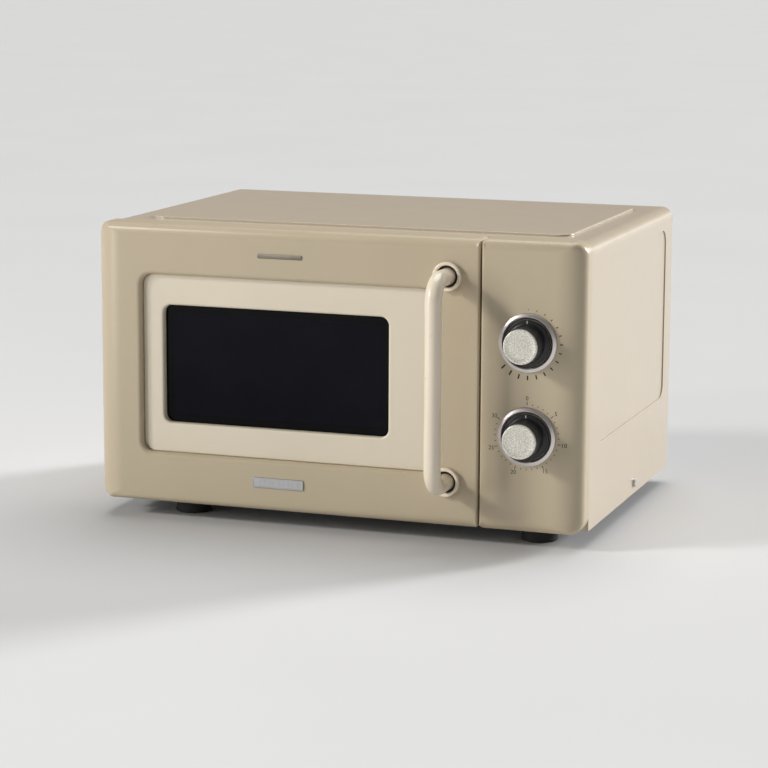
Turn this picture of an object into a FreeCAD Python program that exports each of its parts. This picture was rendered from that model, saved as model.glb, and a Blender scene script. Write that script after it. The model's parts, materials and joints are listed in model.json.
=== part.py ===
import FreeCAD, Part
import math
import os

Vector = FreeCAD.Vector

# A countertop microwave oven, in millimetres. +Z is up, the door faces -Y, and the origin is on the
# floor, under the middle of the space that the whole oven takes up.

# Overall sizes
WIDTH = 440.0
BODY_HEIGHT = 246.0
BODY_DEPTH = 312.0  # face of the door to the back of the cabinet
FOOT_HEIGHT = 15.0
HANDLE_REACH = 45.0  # how far the handle stands out of the door
REAR_STANDOFF = 8.0  # the bumps that keep the back off a wall

# Stock and clearances
SHEET = 0.8  # steel sheet
MOULD = 2.5  # wall of the plastic mouldings
GAP = 0.3  # between pieces that only have to clear each other
RUN = 0.05  # all round a shaft that turns or slides in its bore
HOLE_PLAY = 0.2  # all round a screw's shank

# Cabinet
COVER_RADIUS = 10.0
PAD_RISE = 2.0  # the raised field pressed into the top
PAD_INSET = 28.0
PAD_RADIUS = 14.0
SIDE_PRESS = 1.0  # the sunk field pressed into each side
SIDE_PRESS_MARGIN = 24.0
SIDE_PRESS_FOOT = 70.0
REAR_LIP = 14.0
PLATE_FLANGE = 10.0
BASE_FLANGE = 18.0
VENT_WIDTH = 3.0
VENT_PITCH = 7.0
FOOT_RADIUS = 16.0
FOOT_LEFT = 71.5  # centres of the feet, from the left side and from the back and front
FOOT_RIGHT = 48.0
FOOT_INSET = 20.0
FOOT_STUD = 4.0
SCREW_HEAD = 4.0
SCREW_HEAD_HEIGHT = 2.2
SCREW_SHANK = 1.9
SCREW_LENGTH = 8.0

# Door
DOOR_WIDTH = 350.2
DOOR_DEPTH = 24.0
DOOR_GAP = 2.0  # behind the door
PANEL_GAP = 1.5  # between the door and the control panel
SIDE_ROUND = 16.0  # outer upright edges of the front
EDGE_ROUND = 9.0  # top and bottom edges of the front
INNER_ROUND = 2.5  # upright edges that face each other
CORNER_ROUND = 12.0
BEZEL_LEFT = 42.5
BEZEL_WIDTH = 267.5
BEZEL_FOOT = 45.0
BEZEL_HEIGHT = 157.0
BEZEL_RADIUS = 10.0
BEZEL_DROP = 6.0  # the bezel lies this far below the door's face
BEZEL_WALL = 2.0
BEZEL_FLANGE = 4.0
WINDOW_MARGIN_LEFT = 19.0
WINDOW_MARGIN_RIGHT = 41.5
WINDOW_MARGIN_FOOT = 26.3
WINDOW_MARGIN_TOP = 27.0
WINDOW_RADIUS = 7.5
WINDOW_DROP = 6.0
GLASS_THICK = 3.0
GLASS_LAP = 4.5
BADGE_LEFT = 147.0
BADGE_WIDTH = 47.0
BADGE_FOOT = 21.0
BADGE_HEIGHT = 9.0
BADGE_THICK = 1.2

# Door hinge
HINGE_IN = 7.0  # the pins' axis, from the door's left side and from its face
HINGE_BACK = 17.0
HINGE_PIN = 2.5
HINGE_ARM_HALF = 4.0
HINGE_ARM_THICK = 2.0
HINGE_PLATE_THICK = 2.0
HINGE_FLANGE_WIDTH = 17.0
HINGE_FLANGE_HEIGHT = 20.0
LEFT_WALL_BACK = 21.8  # the door's left wall stops here, to swing past the cabinet

# Choke frame behind the window
CHOKE_SIDE = 12.0  # past the cavity's mouth
CHOKE_TOP = 10.0
CHOKE_FOOT = 8.0
CHOKE_CHANNEL = 14.0
CHOKE_FRONT = 10.5
CHOKE_BACK = 23.0
SCREEN_BACK = 21.3
CHOKE_COVER_THICK = 1.2
FILM_THICK = 0.5

# Handle
HANDLE_CENTRE = 322.5
HANDLE_LOW = 39.0
HANDLE_HIGH = 213.5
HANDLE_RADIUS = 7.2
HANDLE_BEND = 18.0
COLLAR_RADIUS = 11.5
COLLAR_HEIGHT = 4.5
COLLAR_DISH = 2.0

# Cavity and turntable
CAVITY_LEFT = 26.0
CAVITY_WIDTH = 294.0
CAVITY_DEPTH = 268.0
CAVITY_HEIGHT = 196.0
FLOOR_RISE = 24.0  # cavity floor above the cabinet's bottom
CAVITY_RADIUS = 8.0
DISH_RADIUS = 112.0
DISH_DEPTH = 3.0
TRAY_RADIUS = 122.5
TRAY_THICK = 5.0
TRAY_RIM = 6.0
ROLLER_RADIUS = 7.0
ROLLER_WIDTH = 6.5
ROLLER_TRACK = 94.0
RING_RADIUS = 85.5
RING_WIDTH = 7.0
RING_HEIGHT = 5.0
AXLE_RADIUS = 2.0
MOTOR_RADIUS = 24.5
MOTOR_HEIGHT = 14.0
DRIVE_SHAFT = 3.5

# Controls
DIAL_CENTRE = 392.6
DIAL_HIGH = 161.4
DIAL_LOW = 82.3
DIAL_RING_OUTER = 25.0
DIAL_RING_INNER = 20.2
DIAL_RING_HEIGHT = 3.0
KNOB_SKIRT = 19.5
KNOB_BODY = 15.5
KNOB_TAPER = 0.6
KNOB_REACH = 22.0
KNOB_CAP_RADIUS = 14.6
KNOB_CAP_THICK = 2.0
KNOB_SHAFT = 3.0
SWITCH_BOSS = 4.0

# Latch
LATCH_CENTRE = 341.0
LATCH_HIGH = 189.0
LATCH_LOW = 63.0
HOOK_THICK = 3.0
HOOK_HEIGHT = 6.0
HOOK_REACH = 52.0  # tips of the hooks, behind the door's face
HOOK_NOSE = 5.0
LATCH_LIFT = 4.0
PLUNGER_RADIUS = 1.3
PLUNGER_TRAVEL = 1.2
SWITCH_THICK = 10.3
SWITCH_DEEP = 16.0
SWITCH_TALL = 28.0

# Places that follow from the sizes above
LEFT = -WIDTH / 2
RIGHT = WIDTH / 2
FRONT = HANDLE_REACH - (HANDLE_REACH + BODY_DEPTH + REAR_STANDOFF) / 2
BACK = FRONT + BODY_DEPTH
BOTTOM = FOOT_HEIGHT
TOP = BOTTOM + BODY_HEIGHT
SHOULDER = TOP - PAD_RISE
PLATE = FRONT + DOOR_DEPTH + DOOR_GAP  # face of the front plate
INSIDE_LEFT = LEFT + SHEET + GAP
INSIDE_RIGHT = RIGHT - SHEET - GAP
INSIDE_BACK = BACK - 2 * SHEET
CAVITY_X = (LEFT + CAVITY_LEFT, LEFT + CAVITY_LEFT + CAVITY_WIDTH)
CAVITY_Y = (PLATE + SHEET, PLATE + SHEET + CAVITY_DEPTH)
CAVITY_Z = (BOTTOM + FLOOR_RISE, BOTTOM + FLOOR_RISE + CAVITY_HEIGHT)
SPIN_X = (CAVITY_X[0] + CAVITY_X[1]) / 2
SPIN_Y = (CAVITY_Y[0] + CAVITY_Y[1]) / 2
DISH = CAVITY_Z[0] - DISH_DEPTH
AXLE = DISH + GAP + ROLLER_RADIUS
TRAY = AXLE + ROLLER_RADIUS + GAP  # underside of the tray
DOOR_X = (LEFT, LEFT + DOOR_WIDTH)
PANEL_X = (DOOR_X[1] + PANEL_GAP, RIGHT)
BEZEL_X = (LEFT + BEZEL_LEFT, LEFT + BEZEL_LEFT + BEZEL_WIDTH)
BEZEL_Z = (BOTTOM + BEZEL_FOOT, BOTTOM + BEZEL_FOOT + BEZEL_HEIGHT)
WINDOW_X = (BEZEL_X[0] + WINDOW_MARGIN_LEFT, BEZEL_X[1] - WINDOW_MARGIN_RIGHT)
WINDOW_Z = (BEZEL_Z[0] + WINDOW_MARGIN_FOOT, BEZEL_Z[1] - WINDOW_MARGIN_TOP)
GLASS = FRONT + BEZEL_DROP + WINDOW_DROP
CHOKE_X = (CAVITY_X[0] - CHOKE_SIDE, CAVITY_X[1] + CHOKE_SIDE)
CHOKE_Z = (CAVITY_Z[0] - CHOKE_FOOT, CAVITY_Z[1] + CHOKE_TOP)
HINGE_X = LEFT + HINGE_IN
HINGE_Y = FRONT + HINGE_BACK
BAY = CAVITY_X[1] + SHEET  # left side of the bay that holds the electrics
LATCH_X = LEFT + LATCH_CENTRE
DIAL_X = LEFT + DIAL_CENTRE


def box(xs, ys, zs):
    """A block between the two ends given for each axis."""
    return Part.makeBox(xs[1] - xs[0], ys[1] - ys[0], zs[1] - zs[0], Vector(xs[0], ys[0], zs[0]))


def around(middle, size):
    """The two ends of a length that is centred on middle."""
    return (middle - size / 2, middle + size / 2)


def inset(ends, amount):
    """Two ends brought in by amount, or moved out if it is negative."""
    return (ends[0] + amount, ends[1] - amount)


def rod(radius, start, along):
    """A round bar from start, over the vector along."""
    direction = Vector(*along)
    return Part.makeCylinder(radius, direction.Length, Vector(*start), direction)


def tube(outer, inner, start, along):
    """A round bar with a hole right through it."""
    return rod(outer, start, along).cut(rod(inner, start, along))


def rounded_face(corners, radii, place):
    """A flat face over a polygon with rounded corners. place turns each (u, v) into a point."""
    points = [Vector(u, v, 0) for u, v in corners]
    starts = []
    middles = []
    ends = []
    for i, corner in enumerate(points):
        to_last = (points[i - 1] - corner).normalize()
        to_next = (points[(i + 1) % len(points)] - corner).normalize()
        half = to_last.getAngle(to_next) / 2
        reach = radii[i] / math.tan(half)
        inward = (to_last + to_next).normalize()
        starts.append(corner + to_last * reach)
        middles.append(corner + inward * (radii[i] / math.sin(half) - radii[i]))
        ends.append(corner + to_next * reach)
    edges = []
    for i in range(len(points)):
        if radii[i] > 0:
            edges.append(Part.Arc(place(starts[i]), place(middles[i]), place(ends[i])).toShape())
        following = starts[(i + 1) % len(points)]
        if (following - ends[i]).Length > 1e-6:
            edges.append(Part.makeLine(place(ends[i]), place(following)))
    return Part.Face(Part.Wire(edges))


def rectangle(us, vs):
    return [(us[0], vs[0]), (us[1], vs[0]), (us[1], vs[1]), (us[0], vs[1])]


def slab_y(xs, zs, ys, radii):
    """A plate across Y. radii are its corners: low left, low right, high right, high left."""
    face = rounded_face(rectangle(xs, zs), radii, lambda p: Vector(p.x, ys[0], p.y))
    return face.extrude(Vector(0, ys[1] - ys[0], 0))


def slab_x(ys, zs, xs, radii):
    """A plate across X. radii are its corners: low front, low back, high back, high front."""
    face = rounded_face(rectangle(ys, zs), radii, lambda p: Vector(xs[0], p.x, p.y))
    return face.extrude(Vector(xs[1] - xs[0], 0, 0))


def slab_z(xs, ys, zs, radii):
    """A plate across Z. radii are its corners: front left, front right, back right, back left."""
    face = rounded_face(rectangle(xs, ys), radii, lambda p: Vector(p.x, p.y, zs[0]))
    return face.extrude(Vector(0, 0, zs[1] - zs[0]))


def joined(shapes):
    """Shapes that touch or overlap, as one solid."""
    whole = shapes[0].multiFuse(shapes[1:])
    return whole.removeSplitter()


def cut_all(shape, tools):
    return shape.cut(Part.makeCompound(tools)) if tools else shape


def spun(profile, axis_x, axis_y):
    """A solid of revolution about an upright axis, from (radius, height) points."""
    points = [Vector(axis_x + r, axis_y, z) for r, z in profile]
    face = Part.Face(Part.makePolygon(points + points[:1]))
    return face.revolve(Vector(axis_x, axis_y, 0), Vector(0, 0, 1), 360)


def turned(shape, centre, axis, degrees):
    """A copy turned about an axis through centre."""
    copy = shape.copy()
    copy.rotate(Vector(*centre), Vector(*axis), degrees)
    return copy


def screw(head, direction):
    """A pan-head screw. head is the middle of the face under its head."""
    d = Vector(*direction)
    out = d * -SCREW_HEAD_HEIGHT
    cap = rod(SCREW_HEAD, head, tuple(out))
    shank = rod(SCREW_SHANK, head, tuple(d * SCREW_LENGTH))
    return joined([cap, shank])


def screw_hole(head, direction):
    d = Vector(*direction)
    start = Vector(*head) - d * SCREW_HEAD_HEIGHT
    length = SCREW_LENGTH + SCREW_HEAD_HEIGHT + GAP
    return rod(SCREW_SHANK + HOLE_PLAY, tuple(start), tuple(d * length))


def front_block(xs, ys, zs, left, right, edge, left_corner, right_corner):
    """A front moulding's outer form: rounded in plan, in side view and in front view."""
    plan = slab_z(xs, ys, zs, [left, right, 0, 0])
    side = slab_x(ys, zs, xs, [edge, 0, 0, edge])
    corners = [left_corner, right_corner, right_corner, left_corner]
    return plan.common(side).common(slab_y(xs, zs, ys, corners))


# ---------------------------------------------------------------- cabinet

REAR_SCREWS = [
    (LEFT + REAR_LIP / 2, BOTTOM + BODY_HEIGHT * share) for share in (0.12, 0.5, 0.88)
] + [(RIGHT - REAR_LIP / 2, BOTTOM + BODY_HEIGHT * share) for share in (0.12, 0.5, 0.88)]
SIDE_SCREW_Y = PLATE + 158.0
SIDE_SCREW_Z = BOTTOM + 10.0
SIDE_SCREWS = [((side, SIDE_SCREW_Y, SIDE_SCREW_Z), (-side / RIGHT, 0, 0)) for side in (LEFT, RIGHT)]
CABINET_SCREWS = [((x, BACK, z), (0, -1, 0)) for x, z in REAR_SCREWS] + SIDE_SCREWS
FEET = [
    (x, y)
    for x in (LEFT + FOOT_LEFT, RIGHT - FOOT_RIGHT)
    for y in (PLATE + FOOT_INSET, BACK - FOOT_INSET - FOOT_RADIUS)
]


def vent_rows(xs, ys, zs, across, count):
    """Cutters for a row of slots, one pitch apart along the axis named by across."""
    step = Vector(*across) * VENT_PITCH
    slots = []
    for i in range(count):
        slot = box(xs, ys, zs)
        slot.translate(step * (i - (count - 1) / 2))
        slots.append(slot)
    return slots


def outer_cover():
    """One sheet folded over the top and both sides, with a lip at the back."""
    ys = (PLATE, BACK)
    corner = [0, 0, COVER_RADIUS, COVER_RADIUS]
    skin = slab_y((LEFT, RIGHT), (BOTTOM, SHOULDER), ys, corner)
    hollow_corner = [0, 0, COVER_RADIUS - SHEET, COVER_RADIUS - SHEET]
    hollow_x = (LEFT + SHEET, RIGHT - SHEET)
    skin = skin.cut(slab_y(hollow_x, (BOTTOM - 1, SHOULDER - SHEET), ys, hollow_corner))
    lip = slab_y((LEFT, RIGHT), (BOTTOM, SHOULDER), (BACK - SHEET, BACK), corner)
    opening = inset((LEFT, RIGHT), REAR_LIP)
    lip_ys = (BACK - SHEET - 1, BACK + 1)
    lip = lip.cut(slab_y(opening, (BOTTOM - 1, SHOULDER - REAR_LIP), lip_ys, [0, 0, 6, 6]))
    pad_x = inset((LEFT, RIGHT), PAD_INSET)
    pad_y = inset(ys, PAD_INSET)
    pad = slab_z(pad_x, pad_y, (SHOULDER - SHEET / 2, TOP), [PAD_RADIUS] * 4)
    top_edges = [e for e in pad.Edges if e.BoundBox.ZMin > TOP - 0.01]
    pad = pad.makeFillet(PAD_RISE * 0.6, top_edges)
    under_x = inset(pad_x, SHEET)
    under_y = inset(pad_y, SHEET)
    under = slab_z(under_x, under_y, (SHOULDER - SHEET - 1, TOP - SHEET), [PAD_RADIUS - SHEET] * 4)
    press_y = inset(ys, SIDE_PRESS_MARGIN)
    press_z = (BOTTOM + SIDE_PRESS_FOOT, SHOULDER - COVER_RADIUS - 8.0)
    pieces = [skin, lip, pad]
    cuts = [under]
    for side, inward in ((LEFT, 1), (RIGHT, -1)):
        back_x = sorted((side + inward * SHEET / 2, side + inward * (SHEET + SIDE_PRESS)))
        cut_x = sorted((side - inward, side + inward * SIDE_PRESS))
        pieces.append(slab_x(inset(press_y, -SHEET), inset(press_z, -SHEET), back_x, [PAD_RADIUS] * 4))
        cuts.append(slab_x(press_y, press_z, cut_x, [PAD_RADIUS - SHEET] * 4))
    rear_third = BACK - BODY_DEPTH / 4
    for row in (0.38, 0.62):
        middle_z = BOTTOM + BODY_HEIGHT * row
        cuts += vent_rows(
            (LEFT - 1, LEFT + SHEET + SIDE_PRESS + 1),
            around(rear_third, VENT_WIDTH),
            around(middle_z, 34.0),
            (0, 1, 0),
            9,
        )
    cuts += [screw_hole(head, way) for head, way in CABINET_SCREWS]
    return cut_all(joined(pieces), cuts)


def base_plate():
    """The bottom sheet, with a flange up each side and a grid of slots under the transformer."""
    xs = (INSIDE_LEFT, INSIDE_RIGHT)
    ys = (PLATE + SHEET + GAP, INSIDE_BACK - GAP)
    floor = box(xs, ys, (BOTTOM, BOTTOM + SHEET))
    flange_y = (PLATE + PLATE_FLANGE + GAP, ys[1])
    pieces = [floor]
    for x in (xs[0], xs[1] - SHEET):
        pieces.append(box((x, x + SHEET), flange_y, (BOTTOM, BOTTOM + BASE_FLANGE)))
    cuts = [rod(FOOT_STUD + HOLE_PLAY, (x, y, BOTTOM - 1), (0, 0, SHEET + 2)) for x, y in FEET]
    cuts += [screw_hole(head, way) for head, way in SIDE_SCREWS]
    cuts += vent_rows(
        around((BAY + RIGHT) / 2 - 30.0, 26.0),
        around(SPIN_Y + 30.0, VENT_WIDTH),
        (BOTTOM - 1, BOTTOM + SHEET + 1),
        (0, 1, 0),
        8,
    )
    return cut_all(joined(pieces), cuts)


GLAND_X = RIGHT - 44.0
GLAND_Z = BOTTOM + 52.0
GLAND_NECK = 7.5
GLAND_FLANGE = 10.0
CORD_BORE = 3.75
GLAND_OUT = 7.0
GLAND_IN = 6.0
FAN_X = (BAY + INSIDE_RIGHT) / 2
FAN_Z = BOTTOM + 150.0
FAN_RADIUS = 40.0


def rear_panel():
    """The back sheet, with the fan's intake slots, the cord's hole and four stand-off bumps."""
    ys = (INSIDE_BACK, INSIDE_BACK + SHEET)
    xs = (INSIDE_LEFT, INSIDE_RIGHT)
    top_corner = COVER_RADIUS - SHEET - GAP
    sheet = slab_y(xs, (BOTTOM, SHOULDER - SHEET - GAP), ys, [0, 0, top_corner, top_corner])
    pieces = [sheet]
    cuts = []
    bump_foot = 12.0
    bump_tip = 8.0
    length = BACK + REAR_STANDOFF - ys[0]
    for x in (LEFT + 60.0, RIGHT - 120.0):
        for z in (BOTTOM + 40.0, TOP - 40.0):
            start = Vector(x, ys[0], z)
            out = Vector(0, 1, 0)
            pieces.append(Part.makeCone(bump_foot, bump_tip, length, start, out))
            inner = Part.makeCone(bump_foot - SHEET, bump_tip - SHEET, length - SHEET, start, out)
            cuts.append(inner)
    for row in range(3):
        cuts += vent_rows(
            around(FAN_X, VENT_WIDTH),
            (ys[0] - 1, ys[1] + 1),
            around(FAN_Z + (row - 1) * 27.0, 21.0),
            (1, 0, 0),
            11,
        )
    for row in range(2):
        cuts += vent_rows(
            around(LEFT + 150.0, VENT_WIDTH),
            (ys[0] - 1, ys[1] + 1),
            around(TOP - 60.0 - row * 27.0, 21.0),
            (1, 0, 0),
            12,
        )
    cuts.append(rod(GLAND_NECK + HOLE_PLAY, (GLAND_X, ys[0] - 1, GLAND_Z), (0, SHEET + 2, 0)))
    cuts += [screw_hole(head, way) for head, way in CABINET_SCREWS]
    return cut_all(joined(pieces), cuts)


CONTROL_OPENING_X = (PANEL_X[0] + 8.0, RIGHT - 11.0)
CONTROL_OPENING_Z = (BOTTOM + DIAL_LOW - 34.0, BOTTOM + DIAL_HIGH + 34.0)
HOOK_SLOT_X = (LATCH_X - 5.0, LATCH_X + 5.0)
PUSHER_LEFT = LATCH_X - 13.0  # the lower hook's side finger reaches to here


def hook_slot_z(middle):
    below = HOOK_HEIGHT / 2 + HOOK_NOSE + 2.0
    above = HOOK_HEIGHT / 2 + LATCH_LIFT + 2.0
    return (middle - below, middle + above)


def front_plate():
    """The face of the oven behind the door, folded back at the top and sides."""
    xs = (INSIDE_LEFT, INSIDE_RIGHT)
    top = SHOULDER - SHEET - GAP
    corner = COVER_RADIUS - SHEET - GAP
    skin = slab_y(xs, (BOTTOM, top), (PLATE, PLATE + SHEET), [0, 0, corner, corner])
    fold = slab_y(xs, (BOTTOM + SHEET + GAP, top), (PLATE, PLATE + PLATE_FLANGE), [0, 0, corner, corner])
    hollow = slab_y(
        inset(xs, SHEET),
        (BOTTOM - 1, top - SHEET),
        (PLATE - 1, PLATE + PLATE_FLANGE + 1),
        [0, 0, corner - SHEET, corner - SHEET],
    )
    through = (PLATE - 1, PLATE + SHEET + 1)
    cuts = [
        slab_y(CAVITY_X, CAVITY_Z, through, [CAVITY_RADIUS] * 4),
        slab_y(CONTROL_OPENING_X, CONTROL_OPENING_Z, through, [4.0] * 4),
        box(HOOK_SLOT_X, through, hook_slot_z(BOTTOM + LATCH_HIGH)),
        box((PUSHER_LEFT - 2.0, HOOK_SLOT_X[1]), through, hook_slot_z(BOTTOM + LATCH_LOW)),
    ]
    for z in HINGE_ARMS:
        arm_x = around(HINGE_X, 2 * (HINGE_ARM_HALF + HOLE_PLAY))
        cuts.append(box(arm_x, through, inset((z, z + HINGE_ARM_THICK), -HOLE_PLAY)))
    return cut_all(joined([skin, fold.cut(hollow)]), cuts)


def feet():
    pads = []
    for x, y in FEET:
        pad = Part.makeCone(FOOT_RADIUS, FOOT_RADIUS - 2.0, FOOT_HEIGHT, Vector(x, y, 0), Vector(0, 0, 1))
        rim = [e for e in pad.Edges if e.BoundBox.ZMax < 0.01]
        pad = pad.makeFillet(1.5, rim)
        stud = rod(FOOT_STUD, (x, y, FOOT_HEIGHT), (0, 0, SHEET + 2.0))
        pads.append(joined([pad, stud]))
    return Part.makeCompound(pads)


def cabinet_screws():
    return Part.makeCompound([screw(head, way) for head, way in CABINET_SCREWS])


def cord_gland():
    """The bush that the mains lead passes through: a flange outside and a locking ring inside."""
    panel = (INSIDE_BACK, INSIDE_BACK + SHEET)
    neck = rod(GLAND_NECK, (GLAND_X, panel[0] - GLAND_IN, GLAND_Z), (0, GLAND_IN + SHEET + GLAND_OUT, 0))
    flange = rod(GLAND_FLANGE, (GLAND_X, panel[1], GLAND_Z), (0, 3.0, 0))
    ring = rod(GLAND_FLANGE, (GLAND_X, panel[0] - 3.0, GLAND_Z), (0, 3.0, 0))
    bore = rod(CORD_BORE, (GLAND_X, panel[0] - GLAND_IN - 1, GLAND_Z), (0, BODY_DEPTH / 4, 0))
    return joined([neck, flange, ring]).cut(bore)


# ---------------------------------------------------------------- cooking cavity

PORT_Y = around(SPIN_Y + 14.0, 40.0)
PORT_Z = around(BOTTOM + 150.0, 50.0)
LAMP_Y = PLATE + 84.0
LAMP_Z = BOTTOM + 180.0


def hole_grid(start, step_a, step_b, counts, radius, along):
    """Cutters for a grid of round holes centred on start."""
    holes = []
    for a in range(counts[0]):
        for b in range(counts[1]):
            offset = Vector(*step_a) * (a - (counts[0] - 1) / 2)
            offset += Vector(*step_b) * (b - (counts[1] - 1) / 2)
            at = Vector(*start) + offset
            holes.append(rod(radius, tuple(at), along))
    return holes


def cavity_liner():
    """Left, top, right and back walls of the cavity, folded from one sheet."""
    wall_foot = CAVITY_Z[0] - 8.0
    ys = (PLATE + SHEET, CAVITY_Y[1] + SHEET)
    corner = [0, 0, CAVITY_RADIUS + SHEET, CAVITY_RADIUS + SHEET]
    hollow_corner = [0, 0, CAVITY_RADIUS, CAVITY_RADIUS]
    outer = slab_y(inset(CAVITY_X, -SHEET), (wall_foot, CAVITY_Z[1] + SHEET), ys, corner)
    hollow = slab_y(CAVITY_X, (wall_foot - 1, CAVITY_Z[1]), (ys[0] - 1, CAVITY_Y[1]), hollow_corner)
    wall_x = CAVITY_X[1] - 1
    cuts = [box((wall_x, BAY + 1), PORT_Y, PORT_Z)]
    cuts += hole_grid((wall_x, LAMP_Y, LAMP_Z), (0, 5, 0), (0, 0, 5), (6, 6), 1.5, (SHEET + 2, 0, 0))
    steam = (CAVITY_X[0] - SHEET - 1, CAVITY_Y[1] - 50.0, CAVITY_Z[1] - 45.0)
    cuts += hole_grid(steam, (0, 5, 0), (0, 0, 5), (8, 4), 1.5, (SHEET + 2, 0, 0))
    return cut_all(outer.cut(hollow), cuts)


def cavity_floor():
    """The floor sheet: a round sunk track for the rollers and a turned-down edge on three sides."""
    xs = CAVITY_X
    ys = (PLATE + SHEET, CAVITY_Y[1])
    sheet = box(xs, ys, (CAVITY_Z[0] - SHEET, CAVITY_Z[0]))
    low = CAVITY_Z[0] - 8.0
    edges = [
        box((xs[0], xs[0] + SHEET), ys, (low, CAVITY_Z[0])),
        box((xs[1] - SHEET, xs[1]), ys, (low, CAVITY_Z[0])),
        box(xs, (ys[1] - SHEET, ys[1]), (low, CAVITY_Z[0])),
    ]
    pan = rod(DISH_RADIUS + SHEET, (SPIN_X, SPIN_Y, DISH - SHEET), (0, 0, DISH_DEPTH + SHEET))
    sunk = rod(DISH_RADIUS, (SPIN_X, SPIN_Y, DISH), (0, 0, DISH_DEPTH + 1))
    shaft_hole = rod(DRIVE_SHAFT + 2.5, (SPIN_X, SPIN_Y, DISH - SHEET - 1), (0, 0, SHEET + 2))
    return joined([sheet, pan] + edges).cut(sunk).cut(shaft_hole)


def roller_place(shape, index):
    return turned(shape, (SPIN_X, SPIN_Y, 0), (0, 0, 1), 90 + 120 * index)


def roller(index):
    start = (SPIN_X + ROLLER_TRACK - ROLLER_WIDTH / 2, SPIN_Y, AXLE)
    wheel = tube(ROLLER_RADIUS, AXLE_RADIUS + RUN, start, (ROLLER_WIDTH, 0, 0))
    return roller_place(wheel, index)


def roller_ring():
    """The ring that carries three rollers on stub axles, each with a snap head."""
    foot = AXLE - RING_HEIGHT / 2
    outer = RING_RADIUS + RING_WIDTH / 2
    ring = tube(outer, RING_RADIUS - RING_WIDTH / 2, (SPIN_X, SPIN_Y, foot), (0, 0, RING_HEIGHT))
    pieces = [ring]
    head_at = ROLLER_TRACK + ROLLER_WIDTH / 2 + GAP
    for index in range(3):
        stub = rod(AXLE_RADIUS, (SPIN_X + RING_RADIUS, SPIN_Y, AXLE), (head_at + 1.5 - RING_RADIUS, 0, 0))
        head = rod(AXLE_RADIUS + 1.0, (SPIN_X + head_at, SPIN_Y, AXLE), (1.5, 0, 0))
        pieces.append(roller_place(joined([stub, head]), index))
    return joined(pieces)


COUPLER_ARM = 20.0
COUPLER_ARM_WIDTH = 14.0
LUG_RADIUS = 5.5
LUG_TRACK = 15.0
LUG_HEIGHT = 4.0


def turntable_coupler():
    """The three-armed driver under the tray, on the motor's output shaft."""
    hub_top = TRAY - GAP
    hub = rod(9.0, (SPIN_X, SPIN_Y, DISH + 1.0), (0, 0, hub_top - DISH - 1.0))
    shaft = rod(DRIVE_SHAFT, (SPIN_X, SPIN_Y, DISH - SHEET - 8.0), (0, 0, SHEET + 12.0))
    pieces = [hub, shaft]
    for index in range(3):
        arm_zs = (hub_top - 5.0, hub_top)
        arm = box((SPIN_X, SPIN_X + COUPLER_ARM), around(SPIN_Y, COUPLER_ARM_WIDTH), arm_zs)
        pieces.append(turned(arm, (SPIN_X, SPIN_Y, 0), (0, 0, 1), 120 * index))
    return joined(pieces)


def glass_tray():
    """A shallow round glass plate with a raised rim and three driving lugs underneath."""
    top = TRAY + TRAY_THICK
    rim_top = top + TRAY_RIM
    r = TRAY_RADIUS
    profile = [
        (0, TRAY),
        (r - 14.0, TRAY),
        (r - 2.0, TRAY + TRAY_RIM),
        (r, TRAY + TRAY_RIM + 2.0),
        (r, rim_top - 1.0),
        (r - 1.0, rim_top),
        (r - 4.0, rim_top),
        (r - 16.0, top),
        (0, top),
    ]
    plate = spun(profile, SPIN_X, SPIN_Y)
    lugs = []
    for index in range(3):
        lug = rod(LUG_RADIUS, (SPIN_X + LUG_TRACK, SPIN_Y, TRAY - LUG_HEIGHT), (0, 0, LUG_HEIGHT + 1.0))
        lugs.append(turned(lug, (SPIN_X, SPIN_Y, 0), (0, 0, 1), 60 + 120 * index))
    return joined([plate] + lugs)


def turntable_motor():
    top = DISH - SHEET
    can = rod(MOTOR_RADIUS, (SPIN_X, SPIN_Y, top - MOTOR_HEIGHT), (0, 0, MOTOR_HEIGHT))
    ears = box(around(SPIN_X, 2 * MOTOR_RADIUS + 14.0), around(SPIN_Y, 9.0), (top - 1.0, top))
    can_back = SPIN_Y + MOTOR_RADIUS
    terminals = box(around(SPIN_X, 12.0), (can_back - 2.0, can_back + 9.0), (top - 8.0, top - 4.0))
    bore = rod(DRIVE_SHAFT + RUN, (SPIN_X, SPIN_Y, top - 10.0), (0, 0, 12.0))
    return joined([can, ears, terminals]).cut(bore)


# ---------------------------------------------------------------- door

HINGE_ARMS = [CHOKE_Z[0] - HINGE_PLATE_THICK - 0.5 - HINGE_ARM_THICK, CHOKE_Z[1] + HINGE_PLATE_THICK + 0.5]
LATCH_BAR_X = (LATCH_X - 4.0, LATCH_X + 4.0)
LATCH_BAR_Y = (FRONT + 12.0, FRONT + 18.0)
LATCH_BAR_Z = (BOTTOM + LATCH_LOW - 13.0, BOTTOM + LATCH_HIGH + 13.0)
SPRING_LENGTH = 18.0
SPRING_RADIUS = 2.8
SPRING_WIRE = 0.35
GUIDES = [LATCH_BAR_Z[0] + 26.0, LATCH_BAR_Z[1] - 34.0]
GUIDE_TALL = 8.0
HANDLE_FEET = [(LEFT + HANDLE_CENTRE, BOTTOM + z) for z in (HANDLE_LOW, HANDLE_HIGH)]


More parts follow.
